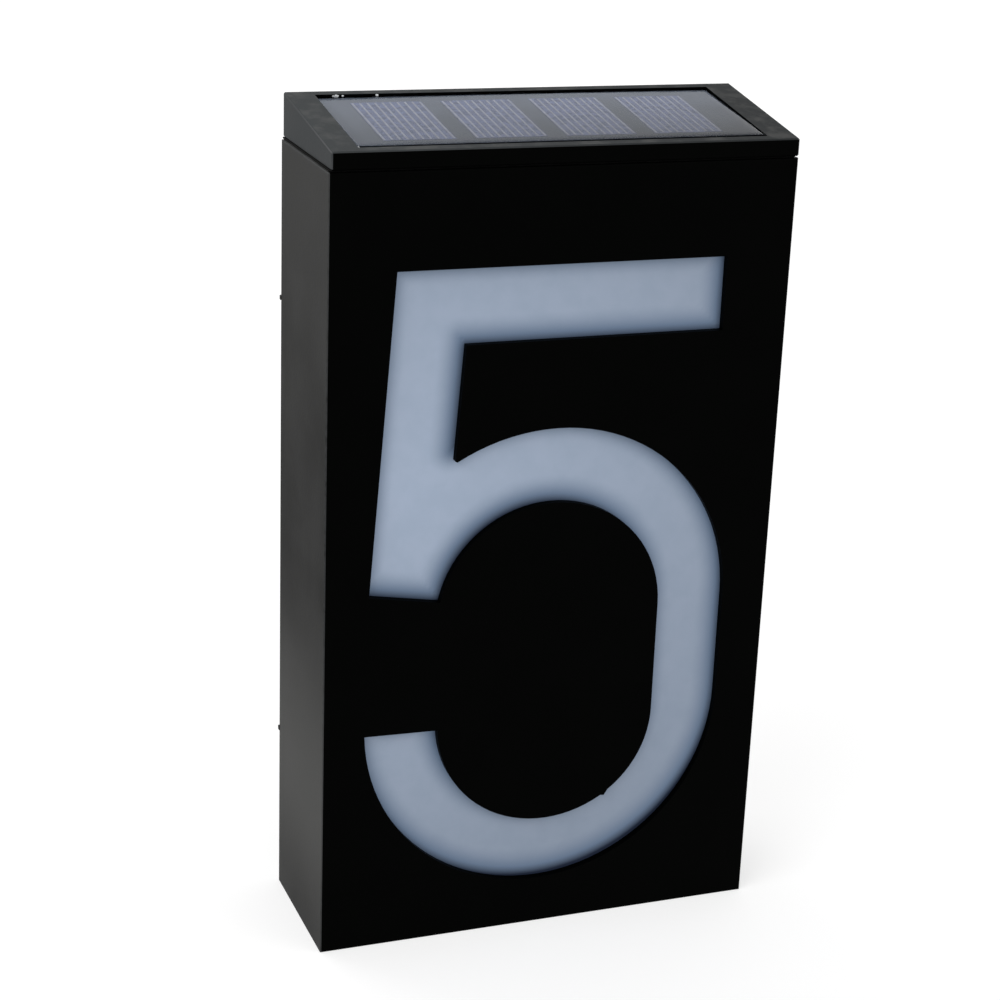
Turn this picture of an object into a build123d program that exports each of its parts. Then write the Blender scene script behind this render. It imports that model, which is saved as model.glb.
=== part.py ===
"""Solar house number sign: a moulded box with a cut numeral 5, lit from behind, under a sloping
cap that carries the solar panel. Millimetres, +Z up, +X to the viewer's right, +Y into the wall.
The origin is on the base, under the middle of the box."""

from build123d import *
from math import acos, asin, atan2, copysign, cos, degrees, hypot, radians, sin, tan
import os

os.makedirs("parts", exist_ok=True)

# ---- housing ----
width = 110.0  # across the front
height = 186.4  # base to deck, without the cap
depth = 38.8  # front face to wall face
front_wall = 1.8
wall = 2.4  # sides, floor and deck
front_edge = 0.4  # rounding round the front face
rear_edge = 1.2  # rounding round the rear
lip = 1.4  # what is left of a wall outside the rear cover
ledge_width = 2.0  # rib inside the walls that the rear cover lands on
ledge_height = 3.0
web_thickness = 1.2  # between the corner bosses and the walls
drain_length = 7.0  # slots in the floor that let condensation out
drain_width = 2.0
drain_pitch = 60.0

# ---- numeral, cut through the front wall ----
left_margin = 9.95  # bowl to the left edge of the front
right_margin = 11.0
bottom_margin = 12.0
top_margin = 21.9  # bar to the deck
bar_height = 17.3
bar_inset = 5.6  # bar's left end, in from the bowl's left
bar_end_inset = 5.0  # bar's right end, in from the bowl's right
bowl_gap = 20.7  # bar to the top of the bowl
side_stroke = 16.9
top_stroke = 17.9
bottom_stroke = 16.0
tail_stroke = 17.7
upper_swell = 0.4  # the inside of the bowl, against half its width, over the top
lower_swell = 0.65  # at the lower left
lower_tuck = 1.75  # and, tighter, at the lower right
crotch_drop = 6.1  # bowl's top down to where the stem meets it
crotch_flat = 0.5  # blunt end of the wedge there
stem_width = 16.4
stem_lean = 3.85  # degrees
foot_left_rise = 7.5  # stem's foot above the upper centre of the bowl
foot_right_rise = 5.7
tail_left_drop = 1.5  # tail's end below the lower centre of the bowl
tail_right_drop = 1.3
jog_place = 16.5  # small flaw in the cut, right of the bowl's middle
jog_length = 0.9
jog_step = 0.35

# ---- diffuser and light tray ----
diffuser_thickness = 2.0
diffuser_lap = 1.8  # past the numeral, at the sides
diffuser_end_lap = 3.0  # past it, at the top and bottom
guide_thickness = 1.2  # ribs that hold the diffuser in place
guide_height = 3.6
guide_length = 26.0
guide_offset = 24.0  # ribs above and below it, from its middle
guide_gap = 0.2
tray_wall = 1.4
tray_taper = 7.0  # how far its sides draw in
tray_boss_height = 6.0
tray_screw_offset = 4.0  # out from the diffuser's edge
ear_thickness = 2.0
tray_lead_hole = 7.0

# ---- light strips ----
strip_width = 8.0
strip_end_gap = 6.8  # strip's ends to the ends of the tray's floor
strip_thickness = 1.0
strip_spacing = 44.0
led_length = 3.5
led_width = 2.8
led_thickness = 0.9
led_count = 4  # on each strip

# ---- rear cover ----
cover_thickness = 2.0
cover_fit = 0.2
seal_thickness = 0.6
seal_width = 1.8
seal_fit = 0.1
seal_inset = 0.6  # seal's outside, in from the cover's edge
corner_inset = 3.4  # cover's screws, in from the inside of the walls
nib_height = 1.0
nib_depth = 1.0
nib_proud = 0.1
nib_fit = 0.2
lower_nib = 41.8
upper_nib_drop = 36.4  # down from the deck

# ---- keyholes ----
keyhole_spacing = 64.0
keyhole_drop = 28.4  # entry holes, down from the deck
keyhole_entry = 9.0
keyhole_slot = 4.8
keyhole_rise = 8.0
pocket_depth = 5.5
pocket_wall = 1.2
pocket_room = 1.5  # round the entry hole

# ---- battery and its tub ----
cell_diameter = 14.2
cell_length = 50.5
cap_nub_diameter = 5.2
cap_nub_length = 1.3
cell_play = 0.7  # round the battery in its tub
tub_wall = 1.5
tub_height = 46.0  # battery's axis above the base
spring_room = 4.7  # past the battery, for the tongue that presses on it
wire_room = 2.7  # tub to light tray
contact_thickness = 0.4
contact_width = 11.0
spring_width = 6.0
spring_root = 3.0  # where the tongue leaves its plate, down from the plate's top
tail_width = 3.0  # contacts' tails, through slots in the tub's floor
tail_fit = 0.4
tail_reach = 3.0

# ---- battery door ----
door_thickness = 1.6
door_fit = 0.2
door_seal_width = 2.0
door_seal_gap = 1.0  # tub's mouth to the seal
door_rim = 2.0  # frame round the door's recess
door_end = 11.0  # past the tub's mouth, at each end
door_side = 4.4  # past it, above and below
door_frame = 2.0
door_edge = 0.3
door_screw_gap = 0.4  # tub's wall to the screw's boss

# ---- control board and slide switch ----
board_overhang = 1.0  # past the tub, at each end
board_height = 30.0
board_thickness = 1.6
board_drop = 74.4  # its middle, down from the deck
board_standoff = 7.2
board_screw_spacing = 37.0
well_length = 20.0
well_width = 10.0
well_depth = 3.5
well_floor = 1.5
switch_length = 11.0
switch_width = 6.0
switch_height = 3.6
switch_skin = 0.3  # sheet frame that keeps the knob in
switch_channel = 1.6
tab_length = 5.0
tab_reach = 2.6
knob_length = 3.6
knob_width = 2.6
knob_foot = 0.6  # foot past the stem, all round
knob_play = 0.05  # over and under the foot
knob_travel = 3.0
knob_fit = 0.1
knob_sink = 0.8  # below the cover's face
grip_count = 3
grip_pitch = 1.0
grip_width = 0.4
grip_depth = 0.3
choke_size = 7.0
choke_height = 4.5
choke_corner = 1.2
capacitor_diameter = 5.0
capacitor_height = 7.0
chip_length = 4.6
chip_width = 3.8
chip_height = 1.5
lug_count = 3
lug_pitch = 1.3
lug_width = 0.5
lug_length = 1.2
lug_thickness = 0.3

# ---- screws ----
screw_hole = 2.6  # through the part that it clamps
screw_core = 2.0  # in the boss
screw_shank = 1.9
shank_sides = 12  # shanks and cores are drawn with this many flats
head_diameter = 4.4
head_height = 1.5
sink_diameter = 4.8
sink_depth = 0.9
low_head_height = 0.8
boss_diameter = 5.6
screw_bite = 6.0
screw_end_room = 0.8

# ---- cap and solar panel ----
cap_front = 4.0
cap_rear = 10.0
cap_inset = 0.3
cap_shift = 0.3  # it sits a little to the right
cap_seam = 0.4
cap_wall = 2.2
cap_floor = 1.3
cap_edge = 0.3
cap_solid = 8.0  # from the front face back to the hollow under the cap
rim_side = 7.1
rim_front = 2.35
rim_rear = 2.45
panel_sink = 0.4  # below the rim, at the panel's edge
panel_crown = 0.3  # how much its middle bows up
panel_fit = 0.3  # to each side of its pocket
panel_slack = 1.4  # it is this much shorter than its pocket
panel_setback = 0.5  # it sits nearer to the rear of its pocket
board_layer = 1.2
cover_layer = 0.8
tape_thickness = 0.3
tape_width = 3.0
solar_length = 25.4
solar_width = 16.6
solar_thickness = 0.2
solar_room = 0.1  # round each cell, in the clear cover
solar_pitch = 21.15
solar_shift = -0.8
solar_rise = 0.2  # the cells sit nearer to the panel's rear edge
solar_count = 4
hook_width = 12.0
hook_spacing = 64.0
hook_thickness = 1.6
hook_setback = 4.2  # from the front face
hook_reach = 1.0
hook_lip = 1.6
hook_fit = 0.2
hook_root = 0.5  # its root, sunk into the cap
cap_screw_gap = 2.2  # its screws' heads to the rear cover's bosses
cap_screw_setback = 8.0  # from the rear face
cap_bite = 4.0
cap_seal_side = 0.6  # seal's outside, in from the cap's sides
cap_seal_front = 0.8
cap_seal_rear = 1.5
cap_seal_width = 1.6
lead_hole = 6.0
lead_bore = 3.4
lead_x = 20.0
lead_setback = 15.0  # from the rear face
grommet_collar = 1.0
grommet_lip = 1.2
grommet_fit = 0.05

# ---- leads ----
lead_thickness = 1.2
lead_width = 2.4  # flat twin lead
lead_bend = 2.0
lead_inset = 4.0  # where the leads meet the board, in from its edge
lead_split = 2.0  # between the strips' two leads, in the tray's hole

# ---- worked out from the sizes above ----
inner_width = width - 2 * wall
inner_bottom = wall
inner_top = height - wall
middle = height / 2
cover_rear = depth
cover_front = depth - cover_thickness
cover_width = width - 2 * (lip + cover_fit)
cover_height = height - 2 * (lip + cover_fit)
upper_nib = height - upper_nib_drop
seal_span = cover_width - 2 * seal_inset
seal_rise = cover_height - 2 * seal_inset

bar_top = height - top_margin
bar_bottom = bar_top - bar_height
bowl_left = -width / 2 + left_margin
bowl_right = width / 2 - right_margin
bowl_x = (bowl_left + bowl_right) / 2
bowl_radius = (bowl_right - bowl_left) / 2
bowl_top = bar_bottom - bowl_gap
bowl_low = bottom_margin + bowl_radius
bowl_high = bowl_top - bowl_radius
counter_left = bowl_left + tail_stroke
counter_right = bowl_right - side_stroke
counter_radius = (counter_right - counter_left) / 2
counter_floor = bottom_margin + bottom_stroke
bar_left = bowl_left + bar_inset
bar_right = bowl_right - bar_end_inset

sheet_left = bowl_left - diffuser_lap
sheet_right = bowl_right + diffuser_lap
sheet_width = sheet_right - sheet_left
sheet_x = (sheet_left + sheet_right) / 2
sheet_low = bottom_margin - diffuser_end_lap
sheet_high = bar_top + diffuser_end_lap
sheet_height = sheet_high - sheet_low
sheet_z = (sheet_low + sheet_high) / 2
tray_front = front_wall + diffuser_thickness
tray_boss_top = front_wall + tray_boss_height
tray_screws = [
    (sheet_x, z) for z in (sheet_low - tray_screw_offset, sheet_high + tray_screw_offset)
]
strip_length = sheet_height - 2 * (tray_wall + tray_taper + strip_end_gap)
led_pitch = strip_length / led_count

cover_screws = [
    (side * (inner_width / 2 - corner_inset), z)
    for side in (-1, 1)
    for z in (inner_bottom + corner_inset, inner_top - corner_inset)
]
keyhole_z = height - keyhole_drop
keyholes = [(side * keyhole_spacing / 2, keyhole_z) for side in (-1, 1)]

tub_length = cell_length + spring_room + 2 * contact_thickness
tub_width = cell_diameter + 2 * cell_play
door_length = tub_length + 2 * door_end
door_width = tub_width + 2 * door_side
door_front = cover_rear - door_thickness
frame_front = cover_front - door_frame
cell_depth = cover_front - cell_play - cell_diameter / 2
tub_floor = cell_depth - cell_diameter / 2 - cell_play
cell_right = tub_length / 2 - contact_thickness
cell_left = cell_right - cell_length
cell_y = cell_depth - depth / 2
tub_floor_y = tub_floor - depth / 2
tail_slot = contact_thickness + tail_fit

tray_rear = tub_floor - tub_wall - wire_room
tray_floor = tray_rear - tray_wall
strip_front = tray_floor - strip_thickness
door_screw_x = tub_length / 2 + tub_wall + boss_diameter / 2 + door_screw_gap
door_screws = [(side * door_screw_x, tub_height) for side in (-1, 1)]

board_z = height - board_drop
board_width = tub_length + 2 * board_overhang
board_rear = cover_front - board_standoff
board_front = board_rear - board_thickness
board_screws = [(side * board_screw_spacing / 2, board_z) for side in (-1, 1)]
well_face = cover_rear - well_depth
well_front = well_face - well_floor
switch_rear = board_rear + switch_height
knob_rear = cover_rear - knob_sink
knob_x = -knob_travel / 2
slot_length = knob_length + knob_travel + 2 * knob_fit
slot_width = knob_width + 2 * knob_fit
foot_rear = switch_rear - knob_play
choke_place = (-board_width / 4, board_z + board_height / 5)
capacitor_place = (board_width / 4, board_z + board_height / 5)
chip_place = (0, board_z)
lead_row = board_z - board_height / 2 + lead_inset

cap_base = height + cap_seam
cap_width = width - 2 * cap_inset
cap_pitch = degrees(atan2(cap_rear - cap_front, depth))
slope = tan(radians(cap_pitch))
slope_length = hypot(depth, cap_rear - cap_front)
pocket_sink = panel_sink + cover_layer + board_layer + tape_thickness
pocket_width = width - 2 * rim_side
pocket_length = slope_length - rim_front - rim_rear
pocket_middle = (rim_front - rim_rear) / 2
panel_middle = pocket_middle + panel_setback
panel_width = pocket_width - 2 * panel_fit
panel_length = pocket_length - panel_slack
cap_screw_x = cover_screws[-1][0] - boss_diameter / 2 - cap_screw_gap - head_diameter / 2
cap_screws = [(side * cap_screw_x, depth / 2 - cap_screw_setback) for side in (-1, 1)]
hook_front = hook_setback - depth / 2
hook_slot = hook_thickness + hook_reach + 2 * hook_fit
lead_y = depth / 2 - lead_setback
lead_place = (lead_x, lead_y)


def behind(distance):
    """The upright plane that lies this far behind the front face; a sketch on it reads x, z."""
    return Plane.XZ.offset(depth / 2 - distance)


def above_slope(distance):
    """The plane of the cap's sloping top, moved this far along its normal."""
    tilt = radians(cap_pitch)
    normal = (0, -sin(tilt), cos(tilt))
    centre = (0, 0, cap_base + (cap_front + cap_rear) / 2)
    return Plane(origin=centre, x_dir=(1, 0, 0), z_dir=normal).offset(distance)


def ceiling(y, sink):
    """Height of a plane that lies parallel to the cap's top and this far under it, at y."""
    top = cap_base + cap_front + (y + depth / 2) * slope
    return top - sink / cos(radians(cap_pitch))


def save(piece, name):
    """Label a finished piece and write it under its own name."""
    piece.part.label = name
    export_step(piece.part, f"parts/{name}.step")


# ---- housing ----
with BuildPart() as housing:
    with BuildSketch(behind(0)):
        with Locations((0, middle)):
            Rectangle(width, height)
    extrude(amount=-depth)
    fillet(housing.faces().sort_by(Axis.Y)[-1].edges(), rear_edge)
    fillet(housing.faces().sort_by(Axis.Y)[0].edges(), front_edge)

    # Hollow inside, rebate for the rear cover, ledge that the cover lands on.
    with BuildSketch(behind(front_wall)):
        with Locations((0, middle)):
            Rectangle(inner_width, inner_top - inner_bottom)
    extrude(amount=-depth, mode=Mode.SUBTRACT)
    with BuildSketch(behind(cover_front)):
        with Locations((0, middle)):
            Rectangle(width - 2 * lip, height - 2 * lip)
    extrude(amount=-depth, mode=Mode.SUBTRACT)
    with BuildSketch(behind(cover_front - ledge_height)):
        with Locations((0, middle)):
            Rectangle(inner_width + wall, inner_top - inner_bottom + wall)
            Rectangle(
                inner_width - 2 * ledge_width,
                inner_top - inner_bottom - 2 * ledge_width,
                mode=Mode.SUBTRACT,
            )
    extrude(amount=-ledge_height)

    # Bosses for the rear cover, webbed to the side walls, and for the light tray.
    with BuildSketch(behind(front_wall)):
        with Locations(*cover_screws):
            Circle(boss_diameter / 2)
        for x, z in cover_screws:
            outward = copysign(corner_inset, x) / 2
            upward = copysign(corner_inset, z - middle) / 2
            with Locations((x + outward, z)):
                Rectangle(corner_inset + wall, web_thickness)
            with Locations((x, z + upward)):
                Rectangle(web_thickness, corner_inset + wall)
    extrude(amount=front_wall - cover_front)
    with BuildSketch(behind(front_wall)):
        with Locations(*tray_screws):
            Circle(boss_diameter / 2)
    extrude(amount=-tray_boss_height)
    with BuildSketch(behind(cover_front)):
        with Locations(*cover_screws):
            RegularPolygon(screw_core / 2, shank_sides, major_radius=False)
    extrude(amount=screw_bite + screw_end_room, mode=Mode.SUBTRACT)
    with BuildSketch(behind(tray_boss_top)):
        with Locations(*tray_screws):
            RegularPolygon(screw_core / 2, shank_sides, major_radius=False)
    extrude(amount=tray_boss_height - screw_end_room, mode=Mode.SUBTRACT)

    # Ribs on the front wall, round the diffuser.
    with BuildSketch(behind(front_wall)):
        for z in (sheet_low + guide_length, sheet_z, sheet_high - guide_length):
            for side in (-1, 1):
                reach = sheet_width / 2 + guide_gap + guide_thickness / 2
                with Locations((sheet_x + side * reach, z)):
                    Rectangle(guide_thickness, guide_length)
        with Locations((sheet_x, sheet_z)):
            rise = sheet_height + 2 * guide_gap + guide_thickness
            with GridLocations(2 * guide_offset, rise, 2, 2):
                Rectangle(guide_length, guide_thickness)
    extrude(amount=-guide_height)

    # The numeral: bar and stem in straight lines, the bowl and its inside in arcs.
    with BuildSketch(behind(0)):
        with BuildLine():
            lean = tan(radians(stem_lean))
            stem_right = bar_left + stem_width
            crotch_z = bowl_top - crotch_drop
            crotch_x = stem_right - (bar_bottom - crotch_z) * lean
            crotch_tip = (crotch_x + crotch_flat, crotch_z - crotch_flat / 2)
            foot_z = bowl_high + foot_left_rise
            foot = (bar_left - (bar_top - foot_z) * lean, foot_z)

            Polyline(
                foot,
                (bar_left, bar_top),
                (bar_right, bar_top),
                (bar_right, bar_bottom),
                (stem_right, bar_bottom),
                (crotch_x, crotch_z),
                crotch_tip,
            )
            TangentArc((bowl_x, bowl_top), crotch_tip, tangent=(-1, 0))
            crown = CenterArc((bowl_x, bowl_high), bowl_radius, 90, -90)
            tail_turn = degrees(asin(tail_left_drop / bowl_radius))
            belly = CenterArc((bowl_x, bowl_low), bowl_radius, 0, tail_turn - 180)
            Line(crown @ 1, belly @ 0)

            # Inside of the bowl: a wide arc at the lower left, a tighter one at the right.
            left_radius = counter_radius + lower_swell
            left_centre = (counter_left + left_radius, counter_floor + left_radius)
            tail_start = 180 + degrees(asin(tail_right_drop / left_radius))
            jog_start = jog_place - jog_length + bowl_x - left_centre[0]
            left_end = 360 - degrees(acos(jog_start / left_radius))
            left_arc = CenterArc(left_centre, left_radius, tail_start, left_end - tail_start)
            right_radius = counter_radius - lower_tuck
            right_x = counter_right - right_radius
            right_z = counter_floor + jog_step + right_radius
            right_start = -degrees(acos((jog_place + jog_length + bowl_x - right_x) / right_radius))
            right_arc = CenterArc((right_x, right_z), right_radius, right_start, -right_start)
            Polyline(
                left_arc @ 1,
                (jog_place + bowl_x, (left_arc @ 1).Y - jog_step / 3),
                right_arc @ 0,
            )
            Line(belly @ 1, left_arc @ 0)
            top_radius = counter_radius + upper_swell
            top_centre = (counter_right - top_radius, bowl_top - top_stroke - top_radius)
            foot_turn = degrees(asin(foot_right_rise / top_radius))
            top_arc = CenterArc(top_centre, top_radius, 0, 180 - foot_turn)
            Line(right_arc @ 1, top_arc @ 0)
            Line(top_arc @ 1, foot)
        make_face()
    extrude(amount=-front_wall, mode=Mode.SUBTRACT)

    # Notches in the lip for the rear cover's nibs, drain slots in the floor.
    with BuildSketch(behind(depth)):
        with Locations((0, lower_nib), (0, upper_nib)):
            Rectangle(width + wall, nib_height + 2 * nib_fit)
    extrude(amount=nib_depth + nib_fit, mode=Mode.SUBTRACT)
    with BuildSketch(Plane.XY):
        with GridLocations(drain_pitch, 1, 2, 1):
            Rectangle(drain_length, drain_width)
    extrude(amount=wall, mode=Mode.SUBTRACT)

    # Deck: slots for the cap's hooks, holes for its screws and for the panel's leads.
    with BuildSketch(Plane.XY.offset(inner_top)):
        with Locations((0, hook_front - hook_fit + hook_slot / 2)):
            with GridLocations(hook_spacing, 1, 2, 1):
                Rectangle(hook_width + 2 * hook_fit, hook_slot)
        with Locations(*cap_screws):
            Circle(screw_hole / 2)
        with Locations(lead_place):
            Circle(lead_hole / 2)
    extrude(amount=wall, mode=Mode.SUBTRACT)
save(housing, "housing")

# ---- diffuser: opal sheet against the front wall ----
with BuildPart() as diffuser:
    with BuildSketch(behind(front_wall)):
        with Locations((sheet_x, sheet_z)):
            Rectangle(sheet_width, sheet_height)
    extrude(amount=-diffuser_thickness)
save(diffuser, "diffuser")

# ---- light tray: white funnel behind the diffuser, with two screw ears ----
with BuildPart() as light_tray:
    with BuildSketch(behind(tray_front)):
        with Locations((sheet_x, sheet_z)):
            Rectangle(sheet_width, sheet_height)
    with BuildSketch(behind(tray_rear)):
        with Locations((sheet_x, sheet_z)):
            Rectangle(sheet_width - 2 * tray_taper, sheet_height - 2 * tray_taper)
    loft()
    with BuildSketch(behind(tray_boss_top)):
        for x, z in tray_screws:
            inward = 1 if z < sheet_z else -1
            with Locations((x, z)):
                Circle(head_diameter / 2)
            with Locations((x, z + inward * (tray_screw_offset + tray_taper) / 2)):
                Rectangle(head_diameter, tray_screw_offset + tray_taper)
    extrude(amount=-ear_thickness)
    mouth = sheet_width - 2 * tray_wall, sheet_height - 2 * tray_wall
    with BuildSketch(behind(tray_front)):
        with Locations((sheet_x, sheet_z)):
            Rectangle(*mouth)
    with BuildSketch(behind(tray_floor)):
        with Locations((sheet_x, sheet_z)):
            Rectangle(mouth[0] - 2 * tray_taper, mouth[1] - 2 * tray_taper)
    loft(mode=Mode.SUBTRACT)
    with BuildSketch(behind(tray_boss_top)):
        with Locations(*tray_screws):
            Circle(screw_hole / 2)
    extrude(amount=-ear_thickness, mode=Mode.SUBTRACT)
    with BuildSketch(behind(tray_floor)):
        with Locations((sheet_x, lead_row)):
            Circle(tray_lead_hole / 2)
    extrude(amount=-tray_wall, mode=Mode.SUBTRACT)
save(light_tray, "light_tray")

# ---- light strips and their lamps, on the tray's floor ----
for side, name in ((-1, "led_strip_left"), (1, "led_strip_right")):
    with BuildPart() as led_strip:
        with BuildSketch(behind(strip_front)):
            with Locations((sheet_x + side * strip_spacing / 2, sheet_z)):
                Rectangle(strip_width, strip_length)
        extrude(amount=-strip_thickness)
    save(led_strip, name)

with BuildPart() as leds:
    with BuildSketch(behind(strip_front - led_thickness)):
        with Locations((sheet_x, sheet_z)):
            with GridLocations(strip_spacing, led_pitch, 2, led_count):
                Rectangle(led_width, led_length)
    extrude(amount=-led_thickness)
save(leds, "leds")

# ---- screws, along Z: each has the underside of its head at zero ----
def screw(head_rise, shank_length):
    """Solid of a screw with a round head and a plain shank."""
    with BuildPart() as piece:
        with BuildSketch(Plane.XY):
            Circle(head_diameter / 2)
        extrude(amount=head_rise)
        with BuildSketch(Plane.XY):
            RegularPolygon(screw_shank / 2, shank_sides)
        extrude(amount=-shank_length)
    return piece.part


def facing_rear(places, distance):
    """Locations whose Z runs out of the rear, this far behind the front face."""
    y = distance - depth / 2
    return [
        Location(Plane(origin=(x, y, z), x_dir=(1, 0, 0), z_dir=(0, 1, 0))) for x, z in places
    ]


def facing_front(places, distance):
    """Locations whose Z runs out of the front, this far behind the front face."""
    y = distance - depth / 2
    return [
        Location(Plane(origin=(x, y, z), x_dir=(1, 0, 0), z_dir=(0, -1, 0))) for x, z in places
    ]


tray_screw = screw(head_height, ear_thickness + tray_boss_height - 2 * screw_end_room)
with BuildPart() as tray_screw_set:
    with Locations(*facing_rear(tray_screws, tray_boss_top + ear_thickness)):
        add(tray_screw)
save(tray_screw_set, "tray_screws")

# ---- rear cover: plate with battery tub, keyhole pockets, switch well and board posts ----
frame_size = (door_length + 2 * door_rim, door_width + 2 * door_rim)
pocket_inner_width = keyhole_entry + 2 * pocket_room
pocket_inner_height = (keyhole_entry + keyhole_slot) / 2 + keyhole_rise + 2 * pocket_room
pocket_z = keyhole_z - keyhole_entry / 2 - pocket_room + pocket_inner_height / 2
pocket_places = [(x, pocket_z) for x, z in keyholes]

with BuildPart() as rear_cover:
    with BuildSketch(behind(cover_front)):
        with Locations((0, middle)):
            Rectangle(cover_width, cover_height)
    extrude(amount=-cover_thickness)

    # Everything that stands on the plate's inside.
    with BuildSketch(behind(frame_front)):
        with Locations((0, tub_height)):
            Rectangle(*frame_size)
    extrude(amount=-door_frame)
    with BuildSketch(behind(tub_floor - tub_wall)):
        with Locations((0, tub_height)):
            Rectangle(tub_length + 2 * tub_wall, tub_width + 2 * tub_wall)
    extrude(amount=tub_floor - tub_wall - cover_front)
    with BuildSketch(behind(cover_front - screw_bite - 2 * screw_end_room)):
        with Locations(*door_screws):
            Circle(boss_diameter / 2)
    extrude(amount=-screw_bite - 2 * screw_end_room)
    with BuildSketch(behind(cover_front - pocket_depth - pocket_wall)):
        with Locations(*pocket_places):
            Rectangle(
                pocket_inner_width + 2 * pocket_wall, pocket_inner_height + 2 * pocket_wall
            )
    extrude(amount=-pocket_depth - pocket_wall)
    with BuildSketch(behind(well_front)):
        with Locations((0, board_z)):
            Rectangle(well_length + 2 * well_floor, well_width + 2 * well_floor)
    extrude(amount=well_front - cover_front)
    with BuildSketch(behind(board_rear)):
        with Locations(*board_screws):
            Circle(boss_diameter / 2)
    extrude(amount=-board_standoff)
    for z in (lower_nib, upper_nib):
        with BuildSketch(behind(depth - nib_depth)):
            with Locations((0, z)):
                Rectangle(width + 2 * nib_proud, nib_height)
                Rectangle(cover_width - 2 * rear_edge, nib_height, mode=Mode.SUBTRACT)
        extrude(amount=-nib_depth)

    # Hollows from the rear: tub, door's recess, keyholes and their pockets, switch well.
    with BuildSketch(behind(tub_floor)):
        with Locations((0, tub_height)):
            Rectangle(tub_length, tub_width)
    extrude(amount=-depth, mode=Mode.SUBTRACT)
    with BuildSketch(behind(cover_front)):
        with Locations((0, tub_height)):
            Rectangle(door_length + 2 * door_fit, door_width + 2 * door_fit)
    extrude(amount=-cover_thickness, mode=Mode.SUBTRACT)
    with BuildSketch(behind(cover_front - pocket_depth)):
        with Locations(*pocket_places):
            Rectangle(pocket_inner_width, pocket_inner_height)
    extrude(amount=-pocket_depth, mode=Mode.SUBTRACT)
    with BuildSketch(behind(cover_front)):
        with Locations(*keyholes):
            Circle(keyhole_entry / 2)
        with Locations(*[(x, z + keyhole_rise / 2) for x, z in keyholes]):
            SlotCenterToCenter(keyhole_rise, keyhole_slot, rotation=90)
    extrude(amount=-cover_thickness, mode=Mode.SUBTRACT)
    with BuildSketch(behind(well_face)):
        with Locations((0, board_z)):
            Rectangle(well_length, well_width)
    extrude(amount=-well_depth, mode=Mode.SUBTRACT)
    with BuildSketch(behind(well_front)):
        with Locations((0, board_z)):
            Rectangle(slot_length, slot_width)
    extrude(amount=-well_floor, mode=Mode.SUBTRACT)

    # Groove for the seal, screw holes, slots for the contacts' tails.
    with BuildSketch(behind(cover_front)):
        with Locations((0, middle)):
            Rectangle(seal_span + 2 * seal_fit, seal_rise + 2 * seal_fit)
            Rectangle(
                seal_span - 2 * (seal_width + seal_fit),
                seal_rise - 2 * (seal_width + seal_fit),
                mode=Mode.SUBTRACT,
            )
    extrude(amount=-seal_thickness, mode=Mode.SUBTRACT)
    with Locations(*facing_rear(cover_screws, cover_rear)):
        CounterBoreHole(screw_hole / 2, sink_diameter / 2, sink_depth, cover_thickness)
    with BuildSketch(behind(cover_front)):
        with Locations(*door_screws):
            RegularPolygon(screw_core / 2, shank_sides, major_radius=False)
    extrude(amount=screw_bite + screw_end_room, mode=Mode.SUBTRACT)
    with BuildSketch(behind(board_rear)):
        with Locations(*board_screws):
            RegularPolygon(screw_core / 2, shank_sides, major_radius=False)
    extrude(amount=-screw_bite, mode=Mode.SUBTRACT)
    with BuildSketch(behind(tub_floor)):
        for side in (-1, 1):
            with Locations((side * (tub_length / 2 - tail_slot / 2), tub_height)):
                Rectangle(tail_slot, tail_width + 2 * tail_fit)
    extrude(amount=tub_wall, mode=Mode.SUBTRACT)
save(rear_cover, "rear_cover")

with BuildPart() as rear_seal:
    with BuildSketch(behind(cover_front)):
        with Locations((0, middle)):
            Rectangle(seal_span, seal_rise)
            Rectangle(
                seal_span - 2 * seal_width, seal_rise - 2 * seal_width, mode=Mode.SUBTRACT
            )
    extrude(amount=-seal_thickness)
save(rear_seal, "rear_seal")

cover_screw = screw(low_head_height, cover_thickness - sink_depth + screw_bite)
with BuildPart() as cover_screw_set:
    with Locations(*facing_rear(cover_screws, cover_rear - sink_depth)):
        add(cover_screw)
save(cover_screw_set, "rear_cover_screws")

# ---- battery: a can with a raised positive end ----
with BuildPart() as battery:
    with BuildSketch(Plane.YZ.offset(cell_left)):
        with Locations((cell_y, tub_height)):
            Circle(cell_diameter / 2)
    extrude(amount=cell_length - cap_nub_length)
    with BuildSketch(Plane.YZ.offset(cell_right - cap_nub_length)):
        with Locations((cell_y, tub_height)):
            Circle(cap_nub_diameter / 2)
    extrude(amount=cap_nub_length)
save(battery, "battery")

# ---- battery contacts: flat leaf at the right, bowed tongue on a plate at the left ----
contact_rise = cell_diameter
with BuildPart() as battery_leaf:
    with BuildSketch(Plane.YZ.offset(tub_length / 2 - contact_thickness)):
        with Locations((cell_y, tub_height)):
            Rectangle(contact_rise, contact_width)
        with Locations((tub_floor_y + (cell_play - tail_reach) / 2, tub_height)):
            Rectangle(tail_reach + cell_play, tail_width)
    extrude(amount=contact_thickness)
save(battery_leaf, "battery_leaf")

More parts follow.
